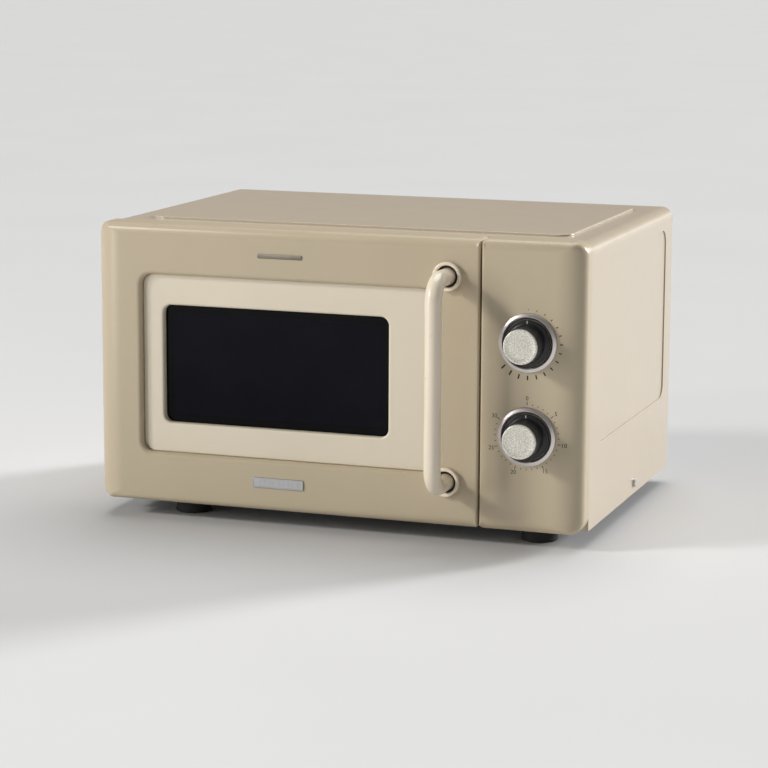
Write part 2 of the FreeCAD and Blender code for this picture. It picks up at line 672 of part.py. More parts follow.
def door_frame():
    """The door's outer moulding: a tray open at the back, with a hole for the bezel."""
    ys = (FRONT, FRONT + DOOR_DEPTH)
    zs = (BOTTOM, TOP)
    outer = front_block(DOOR_X, ys, zs, SIDE_ROUND, INNER_ROUND, EDGE_ROUND, CORNER_ROUND, INNER_ROUND)
    hollow = front_block(
        inset(DOOR_X, MOULD),
        (FRONT + MOULD, ys[1] + 1),
        inset(zs, MOULD),
        SIDE_ROUND - MOULD,
        0.5,
        EDGE_ROUND - MOULD,
        CORNER_ROUND - MOULD,
        0.5,
    )
    shell = outer.cut(hollow)
    wall_y = (FRONT + MOULD / 2, FRONT + BEZEL_DROP + BEZEL_WALL)
    wall_round = [BEZEL_RADIUS + BEZEL_WALL] * 4
    wall = slab_y(inset(BEZEL_X, -BEZEL_WALL), inset(BEZEL_Z, -BEZEL_WALL), wall_y, wall_round)
    pieces = [shell, wall]
    for z in GUIDES:
        guide_x = (LATCH_BAR_X[0] - 1.5, DOOR_X[1] - MOULD)
        pieces.append(box(guide_x, (FRONT + MOULD, LATCH_BAR_Y[1] + 1.5), (z, z + GUIDE_TALL)))
    peg_top = LATCH_BAR_Z[0] - SPRING_LENGTH
    pieces.append(box(LATCH_BAR_X, (FRONT + MOULD, LATCH_BAR_Y[1]), (peg_top - 4.0, peg_top)))
    latch_zs = (LATCH_BAR_Z[0], LATCH_BAR_Z[1] + LATCH_LIFT)
    cuts = [
        slab_y(BEZEL_X, BEZEL_Z, (FRONT - 1, wall_y[1] + 1), [BEZEL_RADIUS] * 4),
        box((LEFT - 1, HINGE_X), (FRONT + LEFT_WALL_BACK, ys[1] + 1), inset(zs, -1)),
        box(inset(LATCH_BAR_X, -GAP), inset(LATCH_BAR_Y, -GAP), latch_zs),
    ]
    for z in HINGE_ARMS:
        arm_z = inset((z, z + HINGE_ARM_THICK), -2 * GAP)
        cuts.append(box((LEFT - 1, LEFT + MOULD + 1), (HINGE_Y - HINGE_ARM_HALF - 2.2, ys[1] + 1), arm_z))
    for x, z in HANDLE_FEET:
        cuts.append(rod(SCREW_SHANK + HOLE_PLAY, (x, FRONT - 1, z), (0, MOULD + 2, 0)))
    return cut_all(joined(pieces), cuts)


def window_bezel():
    """The lighter sunk frame round the window, with a wall in to the glass and a flange behind."""
    face_y = (FRONT + BEZEL_DROP, FRONT + BEZEL_DROP + BEZEL_WALL)
    fit_x = inset(BEZEL_X, GAP)
    fit_z = inset(BEZEL_Z, GAP)
    face = slab_y(fit_x, fit_z, face_y, [BEZEL_RADIUS - GAP] * 4)
    flange_y = (face_y[1], face_y[1] + 1.5)
    flange = slab_y(inset(BEZEL_X, -BEZEL_FLANGE), inset(BEZEL_Z, -BEZEL_FLANGE), flange_y, [12.0] * 4)
    neck_x = inset(WINDOW_X, -BEZEL_WALL)
    neck_z = inset(WINDOW_Z, -BEZEL_WALL)
    neck = slab_y(neck_x, neck_z, (face_y[0], GLASS), [WINDOW_RADIUS + BEZEL_WALL] * 4)
    hole = slab_y(WINDOW_X, WINDOW_Z, (FRONT, GLASS + 1), [WINDOW_RADIUS] * 4)
    return joined([face, flange, neck]).cut(hole)


def window_glass():
    xs = inset(WINDOW_X, -GLASS_LAP)
    zs = inset(WINDOW_Z, -GLASS_LAP)
    return slab_y(xs, zs, (GLASS, GLASS + GLASS_THICK), [WINDOW_RADIUS + 2.0] * 4)


def choke_pan():
    """The door's steel pan: a screen in the middle and a deep choke channel all round it."""
    ys = (FRONT + CHOKE_FRONT, FRONT + CHOKE_BACK)
    block = slab_y(CHOKE_X, CHOKE_Z, ys, [3.0] * 4)
    hollow_y = (ys[0] + SHEET, ys[1] + 1)
    channel_outer = slab_y(inset(CHOKE_X, SHEET), inset(CHOKE_Z, SHEET), hollow_y, [2.2] * 4)
    island = slab_y(inset(CHOKE_X, CHOKE_CHANNEL), inset(CHOKE_Z, CHOKE_CHANNEL), ys, [3.0] * 4)
    pocket_x = inset(CHOKE_X, CHOKE_CHANNEL + SHEET)
    pocket_z = inset(CHOKE_Z, CHOKE_CHANNEL + SHEET)
    pocket = slab_y(pocket_x, pocket_z, (ys[0] - 1, FRONT + SCREEN_BACK - SHEET), [2.2] * 4)
    behind_y = (FRONT + SCREEN_BACK, ys[1] + 1)
    behind = box(inset(CHOKE_X, CHOKE_CHANNEL), behind_y, inset(CHOKE_Z, CHOKE_CHANNEL))
    return block.cut(channel_outer.cut(island)).cut(pocket).cut(behind)


def choke_cover():
    """The plastic ring that closes the choke channel on the oven side."""
    ys = (FRONT + CHOKE_BACK, FRONT + CHOKE_BACK + CHOKE_COVER_THICK)
    ring = slab_y(CHOKE_X, CHOKE_Z, ys, [4.0] * 4)
    opening = slab_y(
        inset(CHOKE_X, CHOKE_CHANNEL + 6.0), inset(CHOKE_Z, CHOKE_CHANNEL + 6.0), inset(ys, -1), [8.0] * 4
    )
    return ring.cut(opening)


def door_inner_film():
    xs = inset(CHOKE_X, CHOKE_CHANNEL + 3.0)
    zs = inset(CHOKE_Z, CHOKE_CHANNEL + 3.0)
    return slab_y(xs, zs, (FRONT + SCREEN_BACK, FRONT + SCREEN_BACK + FILM_THICK), [3.0] * 4)


def door_hinge_plates():
    """Steel ears above and below the pan, each with a bore for a hinge pin."""
    plates = []
    for z in (CHOKE_Z[0] - HINGE_PLATE_THICK, CHOKE_Z[1]):
        zs = (z, z + HINGE_PLATE_THICK)
        ys = around(HINGE_Y, 2 * HINGE_ARM_HALF)
        strip = slab_z((HINGE_X - HINGE_ARM_HALF, HINGE_X + 55.0), ys, zs, [3.9, 1.0, 1.0, 3.9])
        bore = rod(HINGE_PIN + RUN, (HINGE_X, HINGE_Y, z - 1), (0, 0, HINGE_PLATE_THICK + 2))
        plates.append(strip.cut(bore))
    return Part.makeCompound(plates)


def hinge_brackets():
    """Angle brackets fixed behind the front plate. Each arm carries a pin into the door's ear."""
    brackets = []
    pin_reach = HINGE_PLATE_THICK + 1.0
    for z, way in zip(HINGE_ARMS, (1, -1)):
        zs = (z, z + HINGE_ARM_THICK)
        back = PLATE + SHEET + HINGE_ARM_THICK
        xs = around(HINGE_X, 2 * HINGE_ARM_HALF)
        arm = slab_z(xs, (HINGE_Y - HINGE_ARM_HALF, back), zs, [3.9, 3.9, 0, 0])
        root = (z, z + HINGE_FLANGE_HEIGHT) if way > 0 else (zs[1] - HINGE_FLANGE_HEIGHT, zs[1])
        flange = box((xs[0], xs[0] + HINGE_FLANGE_WIDTH), (PLATE + SHEET, back), root)
        pin_z = zs[1] if way > 0 else zs[0]
        pin = rod(HINGE_PIN, (HINGE_X, HINGE_Y, pin_z), (0, 0, way * pin_reach))
        brackets.append(joined([arm, flange, pin]))
    return Part.makeCompound(brackets)


def handle_bar():
    """A round bar bent back to the door at both ends."""
    x = LEFT + HANDLE_CENTRE
    out = FRONT - HANDLE_REACH + HANDLE_RADIUS
    low = BOTTOM + HANDLE_LOW
    high = BOTTOM + HANDLE_HIGH
    slant = HANDLE_BEND * math.sqrt(0.5)
    bend_y = out + HANDLE_BEND
    path = Part.Wire(
        [
            Part.makeLine(Vector(x, FRONT, low), Vector(x, bend_y, low)),
            Part.Arc(
                Vector(x, bend_y, low),
                Vector(x, bend_y - slant, low + HANDLE_BEND - slant),
                Vector(x, out, low + HANDLE_BEND),
            ).toShape(),
            Part.makeLine(Vector(x, out, low + HANDLE_BEND), Vector(x, out, high - HANDLE_BEND)),
            Part.Arc(
                Vector(x, out, high - HANDLE_BEND),
                Vector(x, bend_y - slant, high - HANDLE_BEND + slant),
                Vector(x, bend_y, high),
            ).toShape(),
            Part.makeLine(Vector(x, bend_y, high), Vector(x, FRONT, high)),
        ]
    )
    section = Part.Wire(Part.makeCircle(HANDLE_RADIUS, Vector(x, FRONT, low), Vector(0, -1, 0)))
    bar = path.makePipeShell([section], True, False)
    holes = [rod(SCREW_SHANK, (hx, FRONT + 1, hz), (0, -SCREW_LENGTH, 0)) for hx, hz in HANDLE_FEET]
    return cut_all(bar, holes)


def handle_collars():
    """Dished collars round the feet of the handle."""
    collars = []
    for x, z in HANDLE_FEET:
        collar = rod(COLLAR_RADIUS, (x, FRONT - COLLAR_HEIGHT, z), (0, COLLAR_HEIGHT, 0))
        front_rim = [e for e in collar.Edges if e.BoundBox.YMax < FRONT - COLLAR_HEIGHT + 0.01]
        collar = collar.makeFillet(1.2, front_rim)
        dish = rod(COLLAR_RADIUS - 2.0, (x, FRONT - COLLAR_HEIGHT - 1, z), (0, COLLAR_DISH + 1, 0))
        bore = rod(HANDLE_RADIUS, (x, FRONT - COLLAR_HEIGHT - 1, z), (0, COLLAR_HEIGHT + 2, 0))
        collars.append(collar.cut(dish).cut(bore))
    return Part.makeCompound(collars)


def handle_screws():
    """Screws from inside the door into the feet of the handle."""
    inner = FRONT + MOULD
    length = SCREW_LENGTH + MOULD - 1.5
    screws = []
    for x, z in HANDLE_FEET:
        head = rod(SCREW_HEAD, (x, inner, z), (0, SCREW_HEAD_HEIGHT, 0))
        shank = rod(SCREW_SHANK, (x, inner, z), (0, -length, 0))
        screws.append(joined([head, shank]))
    return Part.makeCompound(screws)


def badge_plate():
    xs = (LEFT + BADGE_LEFT, LEFT + BADGE_LEFT + BADGE_WIDTH)
    zs = (BOTTOM + BADGE_FOOT, BOTTOM + BADGE_FOOT + BADGE_HEIGHT)
    return slab_y(xs, zs, (FRONT - BADGE_THICK, FRONT), [1.5] * 4)


def latch_hooks():
    """The sliding latch bar in the door's free edge, with two hooks and a side finger."""
    pieces = [box(LATCH_BAR_X, LATCH_BAR_Y, LATCH_BAR_Z)]
    tip = FRONT + HOOK_REACH
    hook_x = around(LATCH_X, HOOK_THICK)
    for middle in (BOTTOM + LATCH_LOW, BOTTOM + LATCH_HIGH):
        low = middle - HOOK_HEIGHT / 2
        high = middle + HOOK_HEIGHT / 2
        outline = [
            (LATCH_BAR_Y[1] - 1.0, low),
            (tip - 7.0, low),
            (tip - 6.0, low - HOOK_NOSE),
            (tip - 3.0, low - HOOK_NOSE),
            (tip, low),
            (tip, high),
            (LATCH_BAR_Y[1] - 1.0, high),
        ]
        face = Part.Face(Part.makePolygon([Vector(hook_x[0], y, z) for y, z in outline + outline[:1]]))
        pieces.append(face.extrude(Vector(HOOK_THICK, 0, 0)))
    finger = box((PUSHER_LEFT, hook_x[1]), (tip - 3.0, tip), around(BOTTOM + LATCH_LOW, HOOK_HEIGHT))
    pieces.append(finger)
    return joined(pieces)


def latch_spring():
    """A close coil between the latch bar's foot and a peg in the door."""
    foot = LATCH_BAR_Z[0] - SPRING_LENGTH
    height = SPRING_LENGTH - 2 * SPRING_WIRE
    helix = Part.makeHelix(height / 9, height, SPRING_RADIUS - SPRING_WIRE)
    start = Vector(SPRING_RADIUS - SPRING_WIRE, 0, 0)
    section = Part.Wire(Part.makeCircle(SPRING_WIRE, start, Vector(0, 1, 0)))
    coil = Part.Wire(helix).makePipeShell([section], True, True)
    coil.translate(Vector(LATCH_X, (LATCH_BAR_Y[0] + LATCH_BAR_Y[1]) / 2, foot + SPRING_WIRE))
    return coil


# ---------------------------------------------------------------- door switches

PLUNGER_TIP = FRONT + HOOK_REACH + 0.4
SWITCH_FACE = PLUNGER_TIP + 3.6
SWITCH_RIGHT = HOOK_SLOT_X[1] + 0.8
SWITCHES = {
    "upper_plunger": (LATCH_X, BOTTOM + LATCH_HIGH),
    "lower_plunger": (LATCH_X, BOTTOM + LATCH_LOW),
    "monitor_plunger": (LATCH_X - SWITCH_THICK - GAP, BOTTOM + LATCH_LOW),
}


def plunger(name):
    x, z = SWITCHES[name]
    return rod(PLUNGER_RADIUS, (x, PLUNGER_TIP, z), (0, 6.0, 0))


def door_switches():
    """Three microswitches behind the hooks, each with two blade terminals."""
    bodies = []
    for x, z in SWITCHES.values():
        xs = (x - LATCH_X + SWITCH_RIGHT - SWITCH_THICK, x - LATCH_X + SWITCH_RIGHT)
        body = box(xs, (SWITCH_FACE, SWITCH_FACE + SWITCH_DEEP), around(z, SWITCH_TALL))
        pieces = [body]
        for side in (-8.0, 8.0):
            blade_y = (SWITCH_FACE + SWITCH_DEEP - 1.0, SWITCH_FACE + SWITCH_DEEP + 7.0)
            pieces.append(box(around(sum(xs) / 2, 0.8), blade_y, around(z + side, 4.8)))
        bore = rod(PLUNGER_RADIUS + RUN, (x, SWITCH_FACE - 1, z), (0, 6.0 + PLUNGER_TRAVEL, 0))
        bodies.append(joined(pieces).cut(bore))
    return Part.makeCompound(bodies)


def interlock_bracket():
    """The moulded plate beside the hooks, with a keeper ledge under each and a foot to screw on."""
    plate_x = (SWITCH_RIGHT, SWITCH_RIGHT + MOULD)
    zs = (BOTTOM + LATCH_LOW - 24.0, BOTTOM + LATCH_HIGH + 24.0)
    plate = box(plate_x, (PLATE + SHEET, SWITCH_FACE + SWITCH_DEEP), zs)
    tab_x = (plate_x[0], plate_x[1] + 9.0)
    tab_y = (PLATE + SHEET, PLATE + SHEET + MOULD)
    foot = box(tab_x, tab_y, (zs[0], CONTROL_OPENING_Z[0] - GAP))
    head = box(tab_x, tab_y, (CONTROL_OPENING_Z[1] + GAP, zs[1]))
    pieces = [plate, foot, head]
    for middle in (BOTTOM + LATCH_LOW, BOTTOM + LATCH_HIGH):
        ledge_top = middle - HOOK_HEIGHT / 2 - HOOK_NOSE - 0.5
        ledge_y = (FRONT + HOOK_REACH - 18.0, FRONT + HOOK_REACH - 8.0)
        pieces.append(box((LATCH_X - 3.0, plate_x[0]), ledge_y, (ledge_top - 6.0, ledge_top)))
    return joined(pieces)


# ---------------------------------------------------------------- controls


def control_panel():
    """The right-hand front moulding: a tray open at the back with bosses for the two switches."""
    ys = (FRONT, PLATE)
    zs = (BOTTOM, TOP)
    outer = front_block(PANEL_X, ys, zs, INNER_ROUND, SIDE_ROUND, EDGE_ROUND, INNER_ROUND, CORNER_ROUND)
    hollow = front_block(
        inset(PANEL_X, MOULD),
        (FRONT + MOULD, ys[1] + 1),
        inset(zs, MOULD),
        0.5,
        SIDE_ROUND - MOULD,
        EDGE_ROUND - MOULD,
        0.5,
        CORNER_ROUND - MOULD,
    )
    pieces = [outer.cut(hollow)]
    cuts = []
    for dial_z in (DIAL_HIGH, DIAL_LOW):
        z = BOTTOM + dial_z
        cuts.append(rod(KNOB_SHAFT + 1.0, (DIAL_X, FRONT - 1, z), (0, MOULD + 2, 0)))
        for side in (-17.0, 17.0):
            pieces.append(rod(4.0, (DIAL_X + side, FRONT + MOULD / 2, z), (0, MOULD / 2 + SWITCH_BOSS, 0)))
    return cut_all(joined(pieces), cuts)


def dial_rings():
    """Bright rings round the two knobs."""
    rings = []
    for dial_z in (DIAL_HIGH, DIAL_LOW):
        start = (DIAL_X, FRONT - DIAL_RING_HEIGHT, BOTTOM + dial_z)
        ring = tube(DIAL_RING_OUTER, DIAL_RING_INNER, start, (0, DIAL_RING_HEIGHT, 0))
        front_edges = [e for e in ring.Edges if e.BoundBox.YMax < FRONT - DIAL_RING_HEIGHT + 0.01]
        rings.append(ring.makeFillet(1.3, front_edges))
    return Part.makeCompound(rings)


def knob(dial_z):
    """A dial's black knob: a flat skirt, a slightly tapered grip and a blind bore for the shaft."""
    z = BOTTOM + dial_z
    skirt = rod(KNOB_SKIRT, (DIAL_X, FRONT - 3.5, z), (0, 3.0, 0))
    grip_length = KNOB_REACH - 3.5
    grip_foot = Vector(DIAL_X, FRONT - 3.5, z)
    grip = Part.makeCone(KNOB_BODY, KNOB_BODY - KNOB_TAPER, grip_length, grip_foot, Vector(0, -1, 0))
    bore = rod(KNOB_SHAFT, (DIAL_X, FRONT + 1, z), (0, -KNOB_REACH + 4.0, 0))
    return joined([skirt, grip]).cut(bore)


def knob_cap(dial_z):
    z = BOTTOM + dial_z
    cap = rod(KNOB_CAP_RADIUS, (DIAL_X, FRONT - KNOB_REACH, z), (0, -KNOB_CAP_THICK, 0))
    rim = [e for e in cap.Edges if e.BoundBox.YMax < FRONT - KNOB_REACH - KNOB_CAP_THICK + 0.01]
    return cap.makeFillet(0.8, rim)


TIMER_SIZE = (58.0, 34.0, 54.0)
SELECTOR_SIZE = (46.0, 26.0, 46.0)


def knob_shaft(dial_z):
    start = (DIAL_X, FRONT + MOULD + SWITCH_BOSS + 10.0, BOTTOM + dial_z)
    length = MOULD + SWITCH_BOSS + 10.0 + KNOB_REACH - 5.0
    return rod(KNOB_SHAFT, start, (0, -length, 0))


def dial_switch(dial_z, size):
    """A boxed rotary switch on the panel's bosses, with blade terminals behind."""
    z = BOTTOM + dial_z
    face = FRONT + MOULD + SWITCH_BOSS
    case = slab_y(around(DIAL_X, size[0]), around(z, size[2]), (face, face + size[1]), [4.0] * 4)
    pieces = [case]
    for side in (-12.0, 0.0, 12.0):
        blade_y = (face + size[1] - 1.0, face + size[1] + 8.0)
        pieces.append(box(around(DIAL_X + side, 6.3), blade_y, around(z - 10.0, 0.8)))
    bore = rod(KNOB_SHAFT + RUN, (DIAL_X, face - 1, z), (0, 12.0, 0))
    return joined(pieces).cut(bore)


def timer_body():
    """The clockwork timer, with its bell behind."""
    switch = dial_switch(DIAL_LOW, TIMER_SIZE)
    face = FRONT + MOULD + SWITCH_BOSS + TIMER_SIZE[1]
    bell = Part.makeSphere(17.0, Vector(DIAL_X, face, BOTTOM + DIAL_LOW + 8.0))
    half = box(around(DIAL_X, 40.0), (face, face + 12.0), around(BOTTOM + DIAL_LOW + 8.0, 40.0))
    return joined([switch, bell.common(half)])


# ---------------------------------------------------------------- electrics

GUIDE_DEEP = 16.0
GUIDE_Y = (PORT_Y[0] - 6.0, PORT_Y[0] + 96.0)
GUIDE_Z = (PORT_Z[0] - 12.0, PORT_Z[1] + 12.0)
ANTENNA_Y = GUIDE_Y[1] - 26.0
ANTENNA_Z = (PORT_Z[0] + PORT_Z[1]) / 2
YOKE_X = (BAY + GUIDE_DEEP, BAY + GUIDE_DEEP + 58.0)
YOKE_Y = around(ANTENNA_Y, 68.0)
YOKE_Z = around(ANTENNA_Z, 84.0)
FILTER_BOX = 22.0
YOKE_WALL = 2.0


def waveguide():
    """A folded steel box on the cavity's wall. The magnetron's antenna stands in its far end."""
    xs = (BAY, BAY + GUIDE_DEEP)
    duct = box(xs, GUIDE_Y, GUIDE_Z)
    hollow = box((xs[0] - 1, xs[1] - SHEET), inset(GUIDE_Y, SHEET), inset(GUIDE_Z, SHEET))
    rim = box((xs[0], xs[0] + SHEET), inset(GUIDE_Y, -7.0), inset(GUIDE_Z, -7.0))
    rim = rim.cut(box(inset(xs, -1), inset(GUIDE_Y, SHEET), inset(GUIDE_Z, SHEET)))
    hole = rod(14.0, (xs[1] - SHEET - 1, ANTENNA_Y, ANTENNA_Z), (SHEET + 2, 0, 0))
    return joined([duct.cut(hollow), rim]).cut(hole)


def waveguide_cover():
    """The mica sheet over the wave port, on the cavity side."""
    xs = (CAVITY_X[1] - 0.6, CAVITY_X[1])
    return slab_x(inset(PORT_Y, -6.0), inset(PORT_Z, -6.0), xs, [3.0] * 4)


def magnetron_yoke():
    """The magnet frame, open front and back for the cooling air, and the filter box beside it."""
    frame = box(YOKE_X, YOKE_Y, YOKE_Z)
    hollow = box(inset(YOKE_X, YOKE_WALL), inset(YOKE_Y, -1), inset(YOKE_Z, YOKE_WALL))
    filter_x = (YOKE_X[1], YOKE_X[1] + FILTER_BOX)
    filter_box = box(filter_x, around(ANTENNA_Y, 46.0), around(ANTENNA_Z, 60.0))
    antenna_hole = rod(12.0, (YOKE_X[0] - 1, ANTENNA_Y, ANTENNA_Z), (YOKE_WALL + 2, 0, 0))
    return joined([frame.cut(hollow), filter_box]).cut(antenna_hole)


def magnetron_anode():
    """The anode block with its cooling fins, magnets and the antenna."""
    inner_x = inset(YOKE_X, YOKE_WALL)
    block = rod(19.0, (inner_x[0], ANTENNA_Y, ANTENNA_Z), (inner_x[1] - inner_x[0], 0, 0))
    pieces = [block]
    for index in range(6):
        x = inner_x[0] + 14.0 + index * 5.0
        pieces.append(box((x, x + 1.0), inset(YOKE_Y, 2.0), inset(YOKE_Z, YOKE_WALL)))
    for x in (inner_x[0], inner_x[1] - 11.0):
        pieces.append(rod(27.0, (x, ANTENNA_Y, ANTENNA_Z), (11.0, 0, 0)))
    pieces.append(rod(8.0, (inner_x[0] + 1, ANTENNA_Y, ANTENNA_Z), (-GUIDE_DEEP - YOKE_WALL + 1.5, 0, 0)))
    return joined(pieces)


CORE_MIDDLE = ((BAY + RIGHT) / 2 + 6.0, PLATE + 103.0)
CORE_SIZE = (84.0, 54.0, 70.0)
CORE_LEG = 28.0
CORE_YOKE = 14.0
COIL_BULGE = 12.0


def transformer_core():
    """The stacked laminations: a middle leg between two windows."""
    x, y = CORE_MIDDLE
    zs = (BOTTOM + SHEET, BOTTOM + SHEET + CORE_SIZE[2])
    core = box(around(x, CORE_SIZE[0]), around(y, CORE_SIZE[1]), zs)
    cuts = []
    for side in (-1, 1):
        inner = x + side * CORE_LEG / 2
        outer = x + side * (CORE_SIZE[0] / 2 - CORE_YOKE)
        cuts.append(box(sorted((inner, outer)), inset(around(y, CORE_SIZE[1]), -1), inset(zs, CORE_YOKE)))
    feet_plate = box(around(x, CORE_SIZE[0] + 14.0), around(y, CORE_SIZE[1] - 8.0), (zs[0], zs[0] + 1.5))
    return joined([cut_all(core, cuts), feet_plate])


def transformer_windings():
    """The mains and high-voltage coils, one above the other round the middle leg."""
    x, y = CORE_MIDDLE
    low = BOTTOM + SHEET + CORE_YOKE
    high = BOTTOM + SHEET + CORE_SIZE[2] - CORE_YOKE
    middle = (low + high) / 2
    coils = []
    width = CORE_SIZE[0] - 2 * CORE_YOKE - 1.0
    for zs in ((low + 0.5, middle - 0.5), (middle + 0.5, high - 0.5)):
        coil = slab_z(around(x, width), around(y, CORE_SIZE[1] + 2 * COIL_BULGE), zs, [10.0] * 4)
        leg = box(around(x, CORE_LEG + 2 * GAP), around(y, CORE_SIZE[1] + 2 * GAP), inset(zs, -1))
        coils.append(coil.cut(leg))
    return Part.makeCompound(coils)


CAN_X = around(FAN_X - 8.0, 52.0)
CAN_Y = (INSIDE_BACK - 130.0, INSIDE_BACK - 42.0)
CAN_Z = (BOTTOM + SHEET, BOTTOM + SHEET + 33.0)


def capacitor():
    """The high-voltage capacitor: an oval can lying on the base, with two terminals."""
    can = slab_y(CAN_X, CAN_Z, CAN_Y, [16.0] * 4)
    middle_x = sum(CAN_X) / 2
    posts = [
        rod(4.0, (middle_x + side, CAN_Y[0] + 1, sum(CAN_Z) / 2), (0, -9.0, 0))
        for side in (-12.0, 12.0)
    ]
    return joined([can] + posts)


def high_voltage_diode():
    """The rectifier beside the capacitor, earthed by a tag on the base."""
    x = CAN_X[1] + 14.0
    z = BOTTOM + SHEET + 4.5
    body = rod(4.0, (x, CAN_Y[0], z), (0, 22.0, 0))
    leads = rod(0.9, (x, CAN_Y[0] - 10.0, z), (0, 44.0, 0))
    tag = box(around(x, 8.0), (CAN_Y[0] + 32.0, CAN_Y[0] + 40.0), (BOTTOM + SHEET, z + 0.9))
    return joined([body, leads, tag])


SHROUD_DEEP = 24.0
SHROUD_Y = (INSIDE_BACK - SHROUD_DEEP, INSIDE_BACK)
SHROUD_SIZE = 96.0
FAN_SHAFT = 1.5


def fan_shroud():
    """A square plastic tunnel round the fan, with a cross that carries the motor."""
    block = box(around(FAN_X, SHROUD_SIZE), SHROUD_Y, around(FAN_Z, SHROUD_SIZE))
    tunnel = rod(FAN_RADIUS + 3.0, (FAN_X, SHROUD_Y[0] - 1, FAN_Z), (0, SHROUD_DEEP + 2, 0))
    cross_y = (SHROUD_Y[0], SHROUD_Y[0] + MOULD)
    cross = [
        box(around(FAN_X, SHROUD_SIZE - 2.0), cross_y, around(FAN_Z, 8.0)),
        box(around(FAN_X, 8.0), cross_y, around(FAN_Z, SHROUD_SIZE - 2.0)),
    ]
    hole = rod(FAN_SHAFT + 1.0, (FAN_X, SHROUD_Y[0] - 1, FAN_Z), (0, MOULD + 2, 0))
    return joined([block.cut(tunnel)] + cross).cut(hole)


def fan_motor():
    """A shaded-pole motor: a lamination stack with one coil under it."""
    front = SHROUD_Y[0] - 16.0
    stack = box(around(FAN_X, 48.0), (front, SHROUD_Y[0]), (FAN_Z - 14.0, FAN_Z + 20.0))
    coil = box(around(FAN_X, 26.0), (front + 1.0, SHROUD_Y[0] - 1.0), (FAN_Z - 30.0, FAN_Z - 13.0))
    bore = rod(FAN_SHAFT + RUN, (FAN_X, front + 4.0, FAN_Z), (0, 20.0, 0))
    return joined([stack, coil]).cut(bore)


def fan_blade():
    """Five pitched blades on a hub, with the motor's shaft."""
    hub_y = SHROUD_Y[0] + MOULD + 2.0
    hub = rod(10.0, (FAN_X, hub_y, FAN_Z), (0, 13.0, 0))
    shaft = rod(FAN_SHAFT, (FAN_X, SHROUD_Y[0] - 10.0, FAN_Z), (0, MOULD + 14.0, 0))
    pieces = [hub, shaft]
    for index in range(5):
        blade_zs = (FAN_Z + 7.0, FAN_Z + FAN_RADIUS - 2.0)
        blade = slab_z(around(FAN_X, 20.0), around(hub_y + 6.5, 1.6), blade_zs, [0.5] * 4)
        blade = turned(blade, (FAN_X, hub_y + 6.5, FAN_Z), (0, 0, 1), 32)
        pieces.append(turned(blade, (FAN_X, 0, FAN_Z), (0, 1, 0), 72 * index))
    return joined(pieces)


def lamp_holder():
    """The lamp's holder on the cavity's wall, above the lamp."""
    foot = LAMP_Z + 19.0
    block = box((BAY, BAY + 26.0), around(LAMP_Y, 30.0), (foot, foot + 16.0))
    tab = box((BAY, BAY + 1.5), around(LAMP_Y, 44.0), (foot, foot + 10.0))
    return joined([block, tab])


def oven_lamp():
    """A small pear-shaped bulb with its cap in the holder."""
    foot = LAMP_Z + 19.0
    x = BAY + 13.0
    cap = rod(6.0, (x, LAMP_Y, foot), (0, 0, -8.0))
    bulb = Part.makeSphere(10.0, Vector(x, LAMP_Y, foot - 16.0))
    return joined([cap, bulb])


def filter_board():
    """The mains filter board on four pegs behind the front plate, with coil, capacitor and fuse."""
    xs = (RIGHT - 82.0, RIGHT - 14.0)
    zs = (CONTROL_OPENING_Z[1] + 6.0, CONTROL_OPENING_Z[1] + 38.0)
    board_y = (PLATE + SHEET + 5.0, PLATE + SHEET + 6.6)
    pieces = [box(xs, board_y, zs)]
    for x in inset(xs, 4.0):
        for z in inset(zs, 4.0):
            pieces.append(rod(2.0, (x, PLATE + SHEET, z), (0, 6.0, 0)))
    middle_z = sum(zs) / 2
    coil_at = (xs[0] + 16.0, board_y[1] - 0.5, middle_z)
    pieces.append(tube(11.0, 5.0, coil_at, (0, 10.0, 0)))
    fuse_y = (board_y[1] - 0.5, board_y[1] + 13.0)
    pieces.append(box(around(xs[0] + 38.0, 8.0), fuse_y, around(middle_z, 20.0)))
    pieces.append(rod(3.0, (xs[1] - 14.0, board_y[1] + 2.5, zs[0] + 5.0), (0, 0, 22.0)))
    return joined(pieces)


def thermal_cutouts():
    """Two button thermostats: one on the cavity's wall, one on the magnetron."""
    places = [
        ((BAY, GUIDE_Y[0] + 20.0, GUIDE_Z[1] + 22.0), (1, 0, 0), (0, 1, 0)),
        ((sum(YOKE_X) / 2, ANTENNA_Y, YOKE_Z[1]), (0, 0, 1), (0, 1, 0)),
    ]
    cutouts = []
    for at, out, along in places:
        start = Vector(*at)
        axis = Vector(*out)
        pieces = [rod(8.0, at, out_length(axis, 7.0))]
        for side in (-4.0, 4.0):
            blade_at = start + axis * 6.0 + Vector(*along) * side
            pieces.append(rod(1.2, tuple(blade_at), out_length(axis, 8.0)))
        cutouts.append(joined(pieces))
    return Part.makeCompound(cutouts)


def out_length(axis, length):
    return tuple(axis * length)


